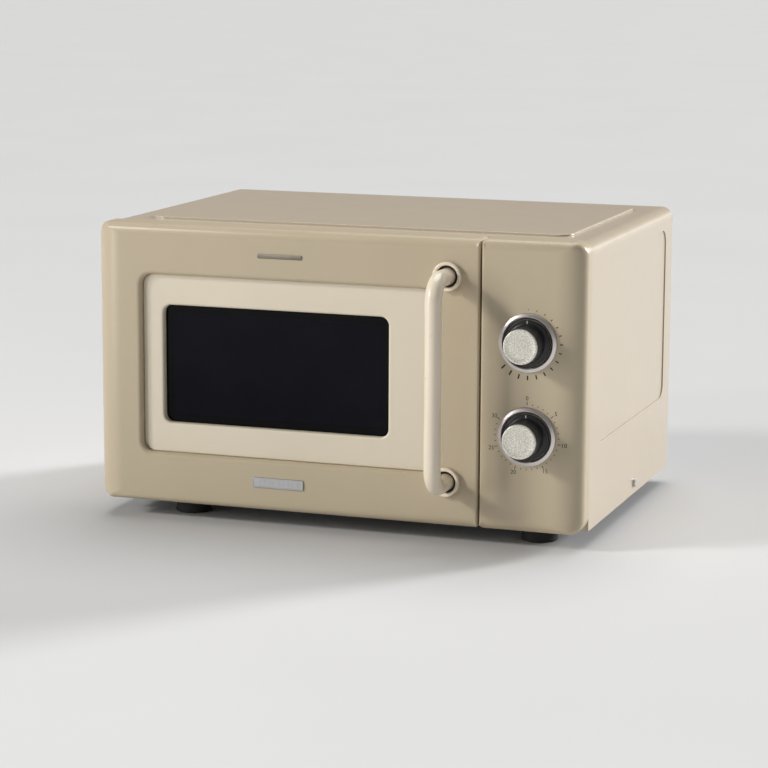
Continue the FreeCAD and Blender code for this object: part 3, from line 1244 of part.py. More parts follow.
NODES = {
    "outer_cover": outer_cover,
    "base_plate": base_plate,
    "rear_panel": rear_panel,
    "front_plate": front_plate,
    "feet": feet,
    "cabinet_screws": cabinet_screws,
    "cord_gland": cord_gland,
    "cavity_liner": cavity_liner,
    "cavity_floor": cavity_floor,
    "roller_ring": roller_ring,
    "turntable_coupler": turntable_coupler,
    "glass_tray": glass_tray,
    "turntable_motor": turntable_motor,
    "door_frame": door_frame,
    "window_bezel": window_bezel,
    "window_glass": window_glass,
    "choke_pan": choke_pan,
    "choke_cover": choke_cover,
    "door_inner_film": door_inner_film,
    "door_hinge_plates": door_hinge_plates,
    "hinge_brackets": hinge_brackets,
    "handle_bar": handle_bar,
    "handle_collars": handle_collars,
    "handle_screws": handle_screws,
    "badge_plate": badge_plate,
    "latch_hooks": latch_hooks,
    "latch_spring": latch_spring,
    "door_switches": door_switches,
    "interlock_bracket": interlock_bracket,
    "control_panel": control_panel,
    "dial_rings": dial_rings,
    "timer_body": timer_body,
    "power_selector": lambda: dial_switch(DIAL_HIGH, SELECTOR_SIZE),
    "timer_knob": lambda: knob(DIAL_LOW),
    "timer_knob_cap": lambda: knob_cap(DIAL_LOW),
    "timer_shaft": lambda: knob_shaft(DIAL_LOW),
    "power_knob": lambda: knob(DIAL_HIGH),
    "power_knob_cap": lambda: knob_cap(DIAL_HIGH),
    "power_shaft": lambda: knob_shaft(DIAL_HIGH),
    "waveguide": waveguide,
    "waveguide_cover": waveguide_cover,
    "magnetron_yoke": magnetron_yoke,
    "magnetron_anode": magnetron_anode,
    "transformer_core": transformer_core,
    "transformer_windings": transformer_windings,
    "capacitor": capacitor,
    "high_voltage_diode": high_voltage_diode,
    "fan_shroud": fan_shroud,
    "fan_motor": fan_motor,
    "fan_blade": fan_blade,
    "lamp_holder": lamp_holder,
    "oven_lamp": oven_lamp,
    "filter_board": filter_board,
    "thermal_cutouts": thermal_cutouts,
}
for number in range(3):
    NODES["roller_%d" % (number + 1)] = lambda number=number: roller(number)
for switch_name in SWITCHES:
    NODES[switch_name] = lambda switch_name=switch_name: plunger(switch_name)

os.makedirs("parts", exist_ok=True)
for node, make in NODES.items():
    make().exportStep("parts/%s.step" % node)
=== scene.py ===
"""Looks of a countertop microwave oven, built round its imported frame. Lengths are in metres."""

import json
import math

import bmesh
import bpy
from mathutils import Matrix, Vector


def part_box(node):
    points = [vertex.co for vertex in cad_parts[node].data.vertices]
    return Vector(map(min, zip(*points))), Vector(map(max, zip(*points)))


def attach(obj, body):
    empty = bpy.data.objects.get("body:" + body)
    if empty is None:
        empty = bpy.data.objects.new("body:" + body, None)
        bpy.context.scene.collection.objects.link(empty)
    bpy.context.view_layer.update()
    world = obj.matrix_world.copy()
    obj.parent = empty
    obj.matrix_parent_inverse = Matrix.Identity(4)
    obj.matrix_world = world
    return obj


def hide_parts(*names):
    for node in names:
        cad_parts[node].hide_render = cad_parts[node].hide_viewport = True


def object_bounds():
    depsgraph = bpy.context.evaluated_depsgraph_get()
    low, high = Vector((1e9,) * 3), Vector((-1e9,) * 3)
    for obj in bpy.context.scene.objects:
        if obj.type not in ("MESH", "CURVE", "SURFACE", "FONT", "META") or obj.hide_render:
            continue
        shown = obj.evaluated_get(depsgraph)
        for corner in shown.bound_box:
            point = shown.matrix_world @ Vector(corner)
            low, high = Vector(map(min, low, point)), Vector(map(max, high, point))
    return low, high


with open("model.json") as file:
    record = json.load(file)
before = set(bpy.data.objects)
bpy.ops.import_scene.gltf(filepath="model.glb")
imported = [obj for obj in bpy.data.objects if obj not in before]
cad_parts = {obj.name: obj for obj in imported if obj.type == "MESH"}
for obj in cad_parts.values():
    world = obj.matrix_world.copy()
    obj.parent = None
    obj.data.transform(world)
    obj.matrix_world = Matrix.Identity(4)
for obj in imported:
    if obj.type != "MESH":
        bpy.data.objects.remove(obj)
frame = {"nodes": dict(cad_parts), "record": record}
CAD_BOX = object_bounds()
NODES = frame["nodes"]
MM = 0.001


# ---------------------------------------------------------------- shader expressions

class Value:
    """A socket in one finish's node tree. Sums and products of values add Math nodes."""

    def __init__(self, finish, socket):
        self.finish = finish
        self.socket = socket

    def math(self, operation, *others):
        sockets = dict(enumerate((self, *others)))
        return self.finish.add("ShaderNodeMath", {"operation": operation}, sockets)

    def __add__(self, other):
        return self.math("ADD", other)

    def __sub__(self, other):
        return self.math("SUBTRACT", other)

    def __rsub__(self, other):
        return self.finish.add("ShaderNodeMath", {"operation": "SUBTRACT"}, {0: other, 1: self})

    def __mul__(self, other):
        return self.math("MULTIPLY", other)

    def __lt__(self, other):
        return self.math("LESS_THAN", other)

    def __abs__(self):
        return self.math("ABSOLUTE")

    def __mod__(self, other):
        return self.math("FLOORED_MODULO", other)

    __radd__ = __add__
    __rmul__ = __mul__

    def hypot(self, other):
        return (self * self + other * other).math("SQRT")

    def step(self, low, high):
        """0 below low and 1 above high, with a soft change between them."""
        sockets = {"Value": self, "From Min": low, "From Max": high}
        return self.finish.add("ShaderNodeMapRange", {"interpolation_type": "SMOOTHSTEP"}, sockets)

    def between(self, low, high):
        """Spreads a value that runs from 0 to 1 over low to high."""
        return self * (high - low) + low


class Finish:
    """One material: a Principled shader and the nodes that feed it."""

    def __init__(self, name, **constants):
        self.material = bpy.data.materials.new(name)
        self.material.use_nodes = True
        self.tree = self.material.node_tree
        self.shader = self.tree.nodes["Principled BSDF"]
        for label, value in constants.items():
            self.feed(label.replace("_", " "), value)

    def add(self, kind, settings, sockets, output=0):
        """Adds a node: settings first, then a value or a link for each of its sockets."""
        node = self.tree.nodes.new(kind)
        for name, value in settings.items():
            if name == "stops":
                self.set_stops(node.color_ramp, value)
            else:
                setattr(node, name, value)
        for name, value in sockets.items():
            self.fill(node.inputs[name], value)
        return Value(self, node.outputs[output])

    def set_stops(self, ramp, stops):
        while len(ramp.elements) < len(stops):
            ramp.elements.new(1.0)
        for element, (place, colour) in zip(ramp.elements, stops):
            element.position = place
            element.color = (*colour, 1.0)

    def fill(self, socket, value):
        if isinstance(value, Value):
            self.tree.links.new(value.socket, socket)
        elif socket.type == "RGBA" and len(value) == 3:
            socket.default_value = (*value, 1.0)
        else:
            socket.default_value = value

    def feed(self, label, value):
        self.fill(self.shader.inputs[label], value)

    def place(self):
        return self.add("ShaderNodeTexCoord", {}, {}, "Object")

    def axes(self):
        """The place on the piece as three values, in metres."""
        split = self.add("ShaderNodeSeparateXYZ", {}, {"Vector": self.place()})
        return [Value(self, split.socket.node.outputs[i]) for i in range(3)]

    def noise(self, scale, detail=2.0, stretch=(1.0, 1.0, 1.0)):
        """Noise with this many waves to a metre, drawn out along an axis by a small stretch."""
        scaled = self.add(
            "ShaderNodeVectorMath", {"operation": "MULTIPLY"}, {0: self.place(), 1: stretch}
        )
        sockets = {"Vector": scaled, "Scale": scale, "Detail": detail}
        return self.add("ShaderNodeTexNoise", {}, sockets)

    def cells(self, scale, output="Color", **settings):
        sockets = {"Vector": self.place(), "Scale": scale}
        return self.add("ShaderNodeTexVoronoi", settings, sockets, output)

    def mixed(self, share, first, second):
        sockets = {0: share, 6: first, 7: second}
        return self.add("ShaderNodeMix", {"data_type": "RGBA"}, sockets, 2)

    def bump(self, height, depth, strength=1.0):
        """Lets the surface rise by depth metres where height is 1."""
        sockets = {"Height": height, "Distance": depth, "Strength": strength}
        self.feed("Normal", self.add("ShaderNodeBump", {}, sockets))


def shade(colour, factor):
    return tuple(min(part * factor, 1.0) for part in colour)


# ---------------------------------------------------------------- finishes

def enamelled(name, colour, roughness, peel=0.25, specks=None):
    """Baked enamel: orange peel in the gloss, a cloudy tint, and flecks on oven enamel."""
    finish = Finish(name, Coat_Roughness=0.12, IOR=1.5)
    cloud = finish.noise(9.0, 3.0)
    body = finish.mixed(cloud, shade(colour, 0.965), shade(colour, 1.035))
    if specks:
        fleck = finish.noise(1400.0, 1.0).step(0.66, 0.72)
        body = finish.mixed(fleck, body, specks)
    finish.feed("Base Color", body)
    rub = finish.noise(60.0, 4.0)
    finish.feed("Roughness", rub.between(roughness - 0.04, roughness + 0.05))
    finish.feed("Coat Weight", cloud.between(0.2, 0.3))
    finish.bump(finish.noise(420.0, 1.0), 0.05 * MM, peel)
    return finish.material


def moulded(name, colour, roughness, grain=0.3, pitch=2600.0):
    """Injection moulding: a fine tool grain and a slight flow in the colour."""
    finish = Finish(name, IOR=1.48)
    flow = finish.noise(14.0, 3.0, (1.0, 1.0, 0.4))
    finish.feed("Base Color", finish.mixed(flow, shade(colour, 0.97), shade(colour, 1.03)))
    handled = finish.noise(38.0, 5.0)
    finish.feed("Roughness", handled.between(roughness - 0.05, roughness + 0.06))
    finish.bump(finish.noise(pitch, 2.0), 0.03 * MM, grain)
    return finish.material


def lacquered(name, colour):
    """Gloss lacquer on the handle, with a faint waviness under the clear coat."""
    finish = Finish(name, Coat_Roughness=0.06, IOR=1.5)
    cloud = finish.noise(22.0, 2.0)
    finish.feed("Base Color", finish.mixed(cloud, shade(colour, 0.97), shade(colour, 1.03)))
    finish.feed("Roughness", finish.noise(90.0, 4.0).between(0.24, 0.34))
    finish.feed("Coat Weight", cloud.between(0.45, 0.6))
    finish.bump(finish.noise(300.0, 1.0), 0.03 * MM, 0.3)
    return finish.material


def spangled(name, colour):
    """Zinc plate: flat crystals of slightly different grey, and a dull rub."""
    finish = Finish(name, Metallic=0.75)
    crystal = finish.cells(160.0)
    grey = finish.add("ShaderNodeRGBToBW", {}, {"Color": crystal})
    finish.feed("Base Color", finish.mixed(grey, shade(colour, 0.86), shade(colour, 1.1)))
    rub = finish.noise(45.0, 5.0)
    finish.feed("Roughness", grey * 0.1 + rub.between(0.34, 0.48))
    finish.bump(rub, 0.05 * MM, 0.2)
    return finish.material


def metal(name, colour, roughness, brushed=(1.0, 1.0, 1.0), pitch=900.0, depth=0.01):
    """Bare or plated metal, with brush marks drawn out along one axis."""
    finish = Finish(name, Metallic=1.0)
    marks = finish.noise(pitch, 4.0, brushed)
    finish.feed("Base Color", finish.mixed(marks, shade(colour, 0.93), shade(colour, 1.05)))
    finish.feed("Roughness", marks.between(roughness * 0.75, roughness * 1.3))
    finish.bump(marks, depth * MM, 0.4)
    return finish.material


def turned_caps(name, colour):
    """Satin caps: a speckled matt plating with a fine sparkle."""
    finish = Finish(name, Metallic=0.55)
    sparkle = finish.noise(800.0, 3.0)
    speck = sparkle.step(0.4, 0.6)
    finish.feed("Base Color", finish.mixed(speck, shade(colour, 0.8), shade(colour, 1.1)))
    finish.feed("Roughness", speck.between(0.3, 0.46))
    finish.bump(sparkle, 0.06 * MM, 0.7)
    return finish.material


def banded(name, dark, light, pitch, axis, metallic=0.7, roughness=0.4):
    """Stacked laminations, fins or windings: even bands across one axis."""
    finish = Finish(name, Metallic=metallic)
    along = finish.axes()[axis]
    band = abs((along % pitch) * (2 / pitch) - 1.0)
    waver = finish.noise(80.0, 3.0)
    edge = (band + waver * 0.3).step(0.2, 0.8)
    finish.feed("Base Color", finish.mixed(edge, dark, light))
    finish.feed("Roughness", waver.between(roughness, roughness + 0.15))
    finish.bump(band, 0.2 * MM, 0.6)
    return finish.material


def smoked_window(name, window_xs, window_zs, radius):
    """Smoked glass with a black band printed round its edge. The rest shows the cavity dimly."""
    finish = Finish(name, Roughness=0.05, IOR=1.45, Coat_Roughness=0.03, Specular_IOR_Level=0.1)
    x, _, z = finish.axes()
    half_wide = (window_xs[1] - window_xs[0]) / 2 - PRINTED_BAND - radius
    half_tall = (window_zs[1] - window_zs[0]) / 2 - PRINTED_BAND - radius
    out_x = (abs(x - sum(window_xs) / 2) - half_wide).math("MAXIMUM", 0.0)
    out_z = (abs(z - sum(window_zs) / 2) - half_tall).math("MAXIMUM", 0.0)
    print_edge = out_x.hypot(out_z).step(radius - 0.4 * MM, radius + 0.4 * MM)
    haze = finish.noise(24.0, 3.0)
    glass = finish.mixed(haze, (0.0022, 0.0022, 0.006), (0.004, 0.004, 0.009))
    finish.feed("Base Color", finish.mixed(print_edge, glass, (0.0018, 0.0018, 0.0024)))
    finish.feed("Alpha", print_edge.between(0.84, 1.0))
    finish.feed("Coat Weight", haze.between(0.02, 0.08))
    return finish.material


def perforated(name, colour, window_xs, window_zs):
    """Black enamel on the door's inner pan, pierced by a square grid of holes across the window."""
    finish = Finish(name, IOR=1.5)
    x, _, z = finish.axes()
    pitch, hole = 2.4 * MM, 0.85 * MM
    off_x = (x % pitch) - pitch / 2
    off_z = (z % pitch) - pitch / 2
    pierced = off_x.hypot(off_z) < hole
    across = abs(x - sum(window_xs) / 2) < (window_xs[1] - window_xs[0]) / 2
    upright = abs(z - sum(window_zs) / 2) < (window_zs[1] - window_zs[0]) / 2
    cloud = finish.noise(9.0, 3.0)
    finish.feed("Base Color", finish.mixed(cloud, shade(colour, 0.95), shade(colour, 1.05)))
    finish.feed("Roughness", finish.noise(60.0, 4.0).between(0.34, 0.42))
    finish.feed("Alpha", 1.0 - pierced * across * upright)
    return finish.material


def clear(name, colour, alpha, roughness=0.06):
    """Clear glass or film, with faint smears in its gloss."""
    finish = Finish(name, IOR=1.5)
    smear = finish.noise(30.0, 4.0)
    finish.feed("Roughness", smear.between(roughness, roughness + 0.08))
    finish.feed("Alpha", smear.between(alpha - 0.04, alpha + 0.04))
    finish.feed("Base Color", finish.mixed(smear, shade(colour, 0.96), colour))
    return finish.material


def circuit_board(name, colour):
    """Green solder resist over copper tracks."""
    finish = Finish(name, IOR=1.5)
    track = finish.cells(220.0, "Distance", distance="CHEBYCHEV").step(0.3, 0.36)
    finish.feed("Base Color", finish.mixed(track, shade(colour, 1.5), colour))
    finish.feed("Roughness", track.between(0.3, 0.45))
    finish.bump(track, 0.05 * MM, 0.4)
    return finish.material


def mica(name):
    """Mica sheet: silvery brown flakes with a pearly gloss."""
    finish = Finish(name, IOR=1.56)
    flake = finish.noise(260.0, 5.0, (1.0, 1.0, 0.5))
    tone = finish.add(
        "ShaderNodeValToRGB",
        {"stops": [(0.3, (0.42, 0.36, 0.27)), (0.7, (0.66, 0.6, 0.5))]},
        {"Fac": flake},
    )
    finish.feed("Base Color", tone)
    finish.feed("Roughness", flake.between(0.25, 0.55))
    finish.bump(flake, 0.05 * MM, 0.5)
    return finish.material


CREAM = (0.545, 0.458, 0.322)
COVER_CREAM = (0.57, 0.485, 0.37)
IVORY = (0.76, 0.685, 0.545)
PRINTED_BAND = 7.0 * MM
GLASS_LOW, GLASS_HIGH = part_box("window_glass")
GLASS_LAP = 4.5 * MM
WINDOW_XS = (GLASS_LOW.x + GLASS_LAP, GLASS_HIGH.x - GLASS_LAP)
WINDOW_ZS = (GLASS_LOW.z + GLASS_LAP, GLASS_HIGH.z - GLASS_LAP)

FINISHES = {
    "cream_enamel": enamelled("cream_enamel", COVER_CREAM, 0.3),
    "cream_moulding": moulded("cream_moulding", CREAM, 0.3, 0.15),
    "ivory_moulding": moulded("ivory_moulding", IVORY, 0.34, 0.15),
    "ivory_lacquer": lacquered("ivory_lacquer", (0.87, 0.77, 0.61)),
    "zinc_sheet": spangled("zinc_sheet", (0.36, 0.37, 0.385)),
    "cavity_enamel": enamelled("cavity_enamel", (0.56, 0.56, 0.54), 0.32, 0.3, (0.2, 0.2, 0.21)),
    "black_enamel": perforated("black_enamel", (0.012, 0.012, 0.014), WINDOW_XS, WINDOW_ZS),
    "black_moulding": moulded("black_moulding", (0.016, 0.016, 0.018), 0.3, 0.5, 1500.0),
    "foot_rubber": moulded("foot_rubber", (0.022, 0.022, 0.022), 0.72, 0.8, 900.0),
    "bright_steel": metal("bright_steel", (0.68, 0.68, 0.7), 0.28),
    "polished_chrome": metal("polished_chrome", (0.74, 0.70, 0.68), 0.34, depth=0.004),
    "satin_metal": turned_caps("satin_metal", (0.76, 0.735, 0.655)),
    "smoked_glass": smoked_window("smoked_glass", WINDOW_XS, WINDOW_ZS, 6.0 * MM),
    "clear_film": clear("clear_film", (0.55, 0.58, 0.6), 0.3),
    "tray_glass": clear("tray_glass", (0.78, 0.86, 0.85), 0.34),
    "lamp_glass": clear("lamp_glass", (0.92, 0.92, 0.86), 0.4),
    "white_moulding": moulded("white_moulding", (0.78, 0.77, 0.72), 0.42),
    "motor_can": metal("motor_can", (0.62, 0.62, 0.63), 0.34, (1.0, 1.0, 0.05)),
    "fin_aluminium": banded("fin_aluminium", (0.4, 0.4, 0.41), (0.78, 0.78, 0.79), 1.6 * MM, 2),
    "lamination_steel": banded("lamination_steel", (0.12, 0.1, 0.08), (0.32, 0.28, 0.23), MM, 0),
    "copper_wire": banded("copper_wire", (0.24, 0.08, 0.03), (0.66, 0.3, 0.13), 1.2 * MM, 2),
    "ceramic_white": enamelled("ceramic_white", (0.8, 0.79, 0.75), 0.2),
    "board_green": circuit_board("board_green", (0.04, 0.16, 0.06)),
    "mica_sheet": mica("mica_sheet"),
}
SLOT_OF = {part["node"]: part["material_slot"] for part in frame["record"]["subparts"]}
SMOOTH_BELOW = math.radians(38.0)


def finish_frame_nodes():
    """Gives each node of the frame the finish of its slot, and smooths its round faces."""
    for name, node in NODES.items():
        node.data.materials.clear()
        node.data.materials.append(FINISHES[SLOT_OF[name]])
        node.data.polygons.foreach_set("use_smooth", [True] * len(node.data.polygons))
        node.data.set_sharp_from_angle(angle=SMOOTH_BELOW)


finish_frame_nodes()

# ---------------------------------------------------------------- mesh helpers

CORNER_STEPS = 8
ROUND_STEPS = 10
LIP_STEPS = 4
TURNED_SEGMENTS = 96
TURN = 2 * math.pi


def put(name, vertices, faces, body, slot, stands_for=()):
    """Makes a piece of the object, closed and smooth, that rides on a body."""
    mesh = bpy.data.meshes.new(name)
    mesh.from_pydata(vertices, [], faces)
    shape = bmesh.new()
    shape.from_mesh(mesh)
    bmesh.ops.remove_doubles(shape, verts=shape.verts, dist=0.002 * MM)
    bmesh.ops.recalc_face_normals(shape, faces=shape.faces)
    shape.to_mesh(mesh)
    shape.free()
    mesh.polygons.foreach_set("use_smooth", [True] * len(mesh.polygons))
    mesh.set_sharp_from_angle(angle=SMOOTH_BELOW)
    piece = bpy.data.objects.new(name, mesh)
    bpy.context.scene.collection.objects.link(piece)
    mesh.materials.append(FINISHES[slot])
    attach(piece, body)
    if stands_for:
        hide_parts(*stands_for)
    return piece


def skin(rings, looped=False):
    """Vertices and faces of a skin over rings of equally many points, capped unless it is looped."""
    count = len(rings[0])
    vertices = [point for ring in rings for point in ring]
    faces = []
    for row in range(len(rings) if looped else len(rings) - 1):
        here = row * count
        there = (row + 1) % len(rings) * count
        for i in range(count):
            j = (i + 1) % count
            faces.append((here + i, here + j, there + j, there + i))
    if not looped:
        faces.append(tuple(range(count)))
        faces.append(tuple(reversed(range(len(vertices) - count, len(vertices)))))
    return vertices, faces


def several(shapes):
    """Joins the vertices and faces of several shapes."""
    vertices = []
    faces = []
    for points, polygons in shapes:
        start = len(vertices)
        vertices += points
        faces += [tuple(start + i for i in polygon) for polygon in polygons]
    return vertices, faces


def sides_at(angle, sides):
    """The share of each side's size at a point of an outline that faces this angle."""
    left, right, foot, top = sides
    across = right if math.cos(angle) > 0 else left
    upright = top if math.sin(angle) > 0 else foot
    return math.cos(angle) ** 2 * across + math.sin(angle) ** 2 * upright


def outline(xs, zs, deep, corner, cut=(0, 0, 0, 0)):
    """A ring round a rounded rectangle whose sides are cut back by left, right, foot and top.
    deep gives the ring's y at the angle that each point faces. A pair of corner sizes is for
    the left and the right."""
    least = 0.3 * MM
    x0, x1 = xs[0] + cut[0], xs[1] - cut[1]
    z0, z1 = zs[0] + cut[2], zs[1] - cut[3]
    ring = []
    for quarter in range(4):
        to_right = quarter in (0, 3)
        to_top = quarter in (0, 1)
        size = corner[to_right] if isinstance(corner, tuple) else corner
        wide = max(size - (cut[1] if to_right else cut[0]), least)
        tall = max(size - (cut[3] if to_top else cut[2]), least)
        middle_x = x1 - wide if to_right else x0 + wide
        middle_z = z1 - tall if to_top else z0 + tall
        for step in range(CORNER_STEPS + 1):
            angle = (quarter + step / CORNER_STEPS) * TURN / 4
            x = middle_x + wide * math.cos(angle)
            ring.append((x, deep(angle), middle_z + tall * math.sin(angle)))
    return ring


def flat(y):
    return lambda angle: y


def rolled_edge(xs, zs, face, corner, rounds, depths, wall=0.0):
    """Rings over the rounding of a moulding's front edge, from its side to its face.
    rounds are its widths and depths its depths, at the left, right, foot and top.
    wall moves them inwards, for the inner side of the same moulding."""
    rings = []
    least = 0.2 * MM
    widths = [max(size - wall, least) for size in rounds]
    depths = [max(size - wall, least) for size in depths]
    for step in range(ROUND_STEPS + 1):
        turn = step / ROUND_STEPS * TURN / 4
        cut = [wall + size * (1 - math.cos(turn)) for size in widths]
        left_over = 1 - math.sin(turn)

        def deep(angle, left_over=left_over):
            return face + wall + sides_at(angle, depths) * left_over

        rings.append(outline(xs, zs, deep, corner, cut))
    return rings


def lip(xs, zs, face, corner, size):
    """Rings over the rounded lip of an opening, from the face down into it."""
    rings = []
    for step in range(LIP_STEPS + 1):
        turn = step / LIP_STEPS * TURN / 4
        back = -size * (1 - math.sin(turn))
        rings.append(outline(xs, zs, flat(face + size * (1 - math.cos(turn))), corner, [back] * 4))
    return rings


def turned(profile, x, z, face):
    """Rings of a solid turned about an axis that runs front to back. profile holds its radius and its
    height off the face, in millimetres."""
    rings = []
    for radius, height in profile:
        ring = []
        for i in range(TURNED_SEGMENTS):
            angle = i / TURNED_SEGMENTS * TURN
            off_x, off_z = radius * MM * math.cos(angle), radius * MM * math.sin(angle)
            ring.append((x + off_x, face - height * MM, z + off_z))
        rings.append(ring)
    return rings


def bead(radius, height, size, quarter, steps=5):
    """Profile points round a quarter circle, for turned(). Quarter 0 is outwards and up."""
    points = []
    for step in range(steps + 1):
        angle = (quarter + step / steps) * TURN / 4
        points.append((radius + size * math.cos(angle), height + size * math.sin(angle)))
    return points


def carve(piece, low, high):
    """Cuts a box out of a piece."""
    xs, ys, zs = zip(low, high)
    ends = [[(x, y, z) for x, z in ((xs[0], zs[0]), (xs[1], zs[0]), (xs[1], zs[1]), (xs[0], zs[1]))]
            for y in ys]
    mesh = bpy.data.meshes.new("cutter")
    vertices, faces = skin(ends)
    mesh.from_pydata(vertices, [], faces)
    cutter = bpy.data.objects.new("cutter", mesh)
    bpy.context.scene.collection.objects.link(cutter)
    cut = piece.modifiers.new("slot", "BOOLEAN")
    cut.operation = "DIFFERENCE"
    cut.object = cutter
    bpy.context.view_layer.update()
    result = bpy.data.meshes.new_from_object(
        piece.evaluated_get(bpy.context.evaluated_depsgraph_get())
    )
    piece.modifiers.clear()
    piece.data = result
    bpy.data.objects.remove(cutter)


# ---------------------------------------------------------------- the front mouldings

WALL = 2.5 * MM
SIDE_ROUND = 23.0 * MM
SIDE_DEPTH = 14.5 * MM
EDGE_ROUND = 9.0 * MM
FACING_ROUND = 2.5 * MM
OUTER_CORNER = 12.0 * MM
FACING_CORNER = 4.0 * MM
WINDOW_CORNER = 7.5 * MM
BEZEL_CORNER = 10.0 * MM
LAND = 0.8 * MM  # a narrow flat strip between an edge and a face, which keeps the face's shading flat
OPENING_LIP = 3.4 * MM  # the door's opening for the window's surround
OPENING_DEPTH = 8.0 * MM
OPENING_WALL = 2.0 * MM
LEFT_WALL_BACK = 21.8 * MM  # the door's left wall stops here, to clear the cabinet as it swings
LEFT_CUT = 7.0 * MM
HINGE_ARM_MIDDLE = 1.5 * MM
HINGE_SLOT_FRONT = 10.5 * MM
HINGE_SLOT_HALF = 4.0 * MM
CARVE_PAST = 1.0 * MM

DOOR_LOW, DOOR_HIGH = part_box("door_frame")
PANEL_LOW, PANEL_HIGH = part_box("control_panel")
PANEL_FACE = PANEL_LOW.y
RING_LOW, RING_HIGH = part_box("dial_rings")
FACE = DOOR_LOW.y
BEZEL_FLANGE = 4.0 * MM
SURROUND_FIT = 0.15 * MM  # between the window's surround and the door's opening
SURROUND_EDGE = 1.2 * MM
SURROUND_SKIRT = 4.5 * MM
SURROUND_WALL = 2.2 * MM
SKIRT_WALL = 1.8 * MM
WINDOW_LIP = 2.0 * MM
GLASS_SEAT = 6.0 * MM
BEZEL_LOW, BEZEL_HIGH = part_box("window_bezel")
BEZEL_XS = (BEZEL_LOW.x + BEZEL_FLANGE, BEZEL_HIGH.x - BEZEL_FLANGE)
BEZEL_ZS = (BEZEL_LOW.z + BEZEL_FLANGE, BEZEL_HIGH.z - BEZEL_FLANGE)


def spread(span, by):
    return (span[0] - by, span[1] + by)


def door_shell():
    """The door's front: rolled edges and an opening with a rounded lip, slotted for the hinges."""
    rounds = (SIDE_ROUND, FACING_ROUND, EDGE_ROUND, EDGE_ROUND)
    depths = (SIDE_DEPTH, FACING_ROUND, EDGE_ROUND, EDGE_ROUND)
    corner = (OUTER_CORNER, FACING_CORNER)
    xs, zs = (DOOR_LOW.x, DOOR_HIGH.x), (DOOR_LOW.z, DOOR_HIGH.z)
    back = DOOR_HIGH.y

    def round_opening(y, grown=0.0):
        return outline(BEZEL_XS, BEZEL_ZS, flat(y), BEZEL_CORNER, [-grown] * 4)

    rings = [outline(xs, zs, flat(back), corner)]
    rings += rolled_edge(xs, zs, FACE, corner, rounds, depths)
    rings.append(outline(xs, zs, flat(FACE), corner, [size + LAND for size in rounds]))
    rings.append(round_opening(FACE, OPENING_LIP + LAND))
    rings += lip(BEZEL_XS, BEZEL_ZS, FACE, BEZEL_CORNER, OPENING_LIP)
    rings.append(round_opening(FACE + OPENING_DEPTH))
    rings.append(round_opening(FACE + OPENING_DEPTH, OPENING_WALL))
    rings.append(round_opening(FACE + WALL, OPENING_WALL))
    rings += reversed(rolled_edge(xs, zs, FACE, corner, rounds, depths, WALL))
    rings.append(outline(xs, zs, flat(back), corner, [WALL] * 4))
    looped = skin(rings, looped=True)
    shell = put("door_shell", *looped, "door", "cream_moulding", ["door_frame"])
    carve(
        shell,
        (DOOR_LOW.x - CARVE_PAST, FACE + LEFT_WALL_BACK, DOOR_LOW.z - CARVE_PAST),
        (DOOR_LOW.x + LEFT_CUT, back + CARVE_PAST, DOOR_HIGH.z + CARVE_PAST),
    )
    pins_low, pins_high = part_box("hinge_brackets")
    for z in (pins_low.z + HINGE_ARM_MIDDLE, pins_high.z - HINGE_ARM_MIDDLE):
        carve(
            shell,
            (DOOR_LOW.x - CARVE_PAST, FACE + HINGE_SLOT_FRONT, z - HINGE_SLOT_HALF),
            (DOOR_LOW.x + WALL + CARVE_PAST, back + CARVE_PAST, z + HINGE_SLOT_HALF),
        )


def window_surround():
    """The ivory surround, a flat frame with a rounded lip round the glass."""
    face = BEZEL_LOW.y
    skirt_back = face + SURROUND_SKIRT
    inside = face + SURROUND_WALL
    xs, zs = spread(BEZEL_XS, -SURROUND_FIT), spread(BEZEL_ZS, -SURROUND_FIT)

    def round_frame(y, cut):
        return outline(xs, zs, flat(y), BEZEL_CORNER, [cut] * 4)

    def round_window(y, grown):
        return outline(WINDOW_XS, WINDOW_ZS, flat(y), WINDOW_CORNER, [-grown] * 4)

    edge = [SURROUND_EDGE] * 4
    rings = [round_frame(skirt_back, 0.0)]
    rings += rolled_edge(xs, zs, face, BEZEL_CORNER, edge, edge)
    rings.append(round_frame(face, SURROUND_EDGE + 1.0 * MM))
    rings.append(round_window(face, WINDOW_LIP + LAND))
    rings += lip(WINDOW_XS, WINDOW_ZS, face, WINDOW_CORNER, WINDOW_LIP)
    glass_front = GLASS_LOW.y - 0.1 * MM
    rings.append(round_window(glass_front, 0.0))
    rings.append(round_window(glass_front, GLASS_SEAT))
    rings.append(round_window(inside, GLASS_SEAT))
    rings.append(round_frame(inside, SKIRT_WALL))
    rings.append(round_frame(skirt_back, SKIRT_WALL))
    put("window_surround", *skin(rings, looped=True), "door", "ivory_moulding", ["window_bezel"])


def window_pane():
    """The glass, with ground edges."""
    xs, zs = (GLASS_LOW.x, GLASS_HIGH.x), (GLASS_LOW.z, GLASS_HIGH.z)
    ground = 0.4 * MM
    corner = WINDOW_CORNER + GLASS_LAP
    rings = [outline(xs, zs, flat(GLASS_LOW.y), corner, [ground] * 4)]
    rings.append(outline(xs, zs, flat(GLASS_LOW.y + ground), corner))
    rings.append(outline(xs, zs, flat(GLASS_HIGH.y - ground), corner))
    rings.append(outline(xs, zs, flat(GLASS_HIGH.y), corner, [ground] * 4))
    put("window_pane", *skin(rings), "door", "smoked_glass", ["window_glass"])


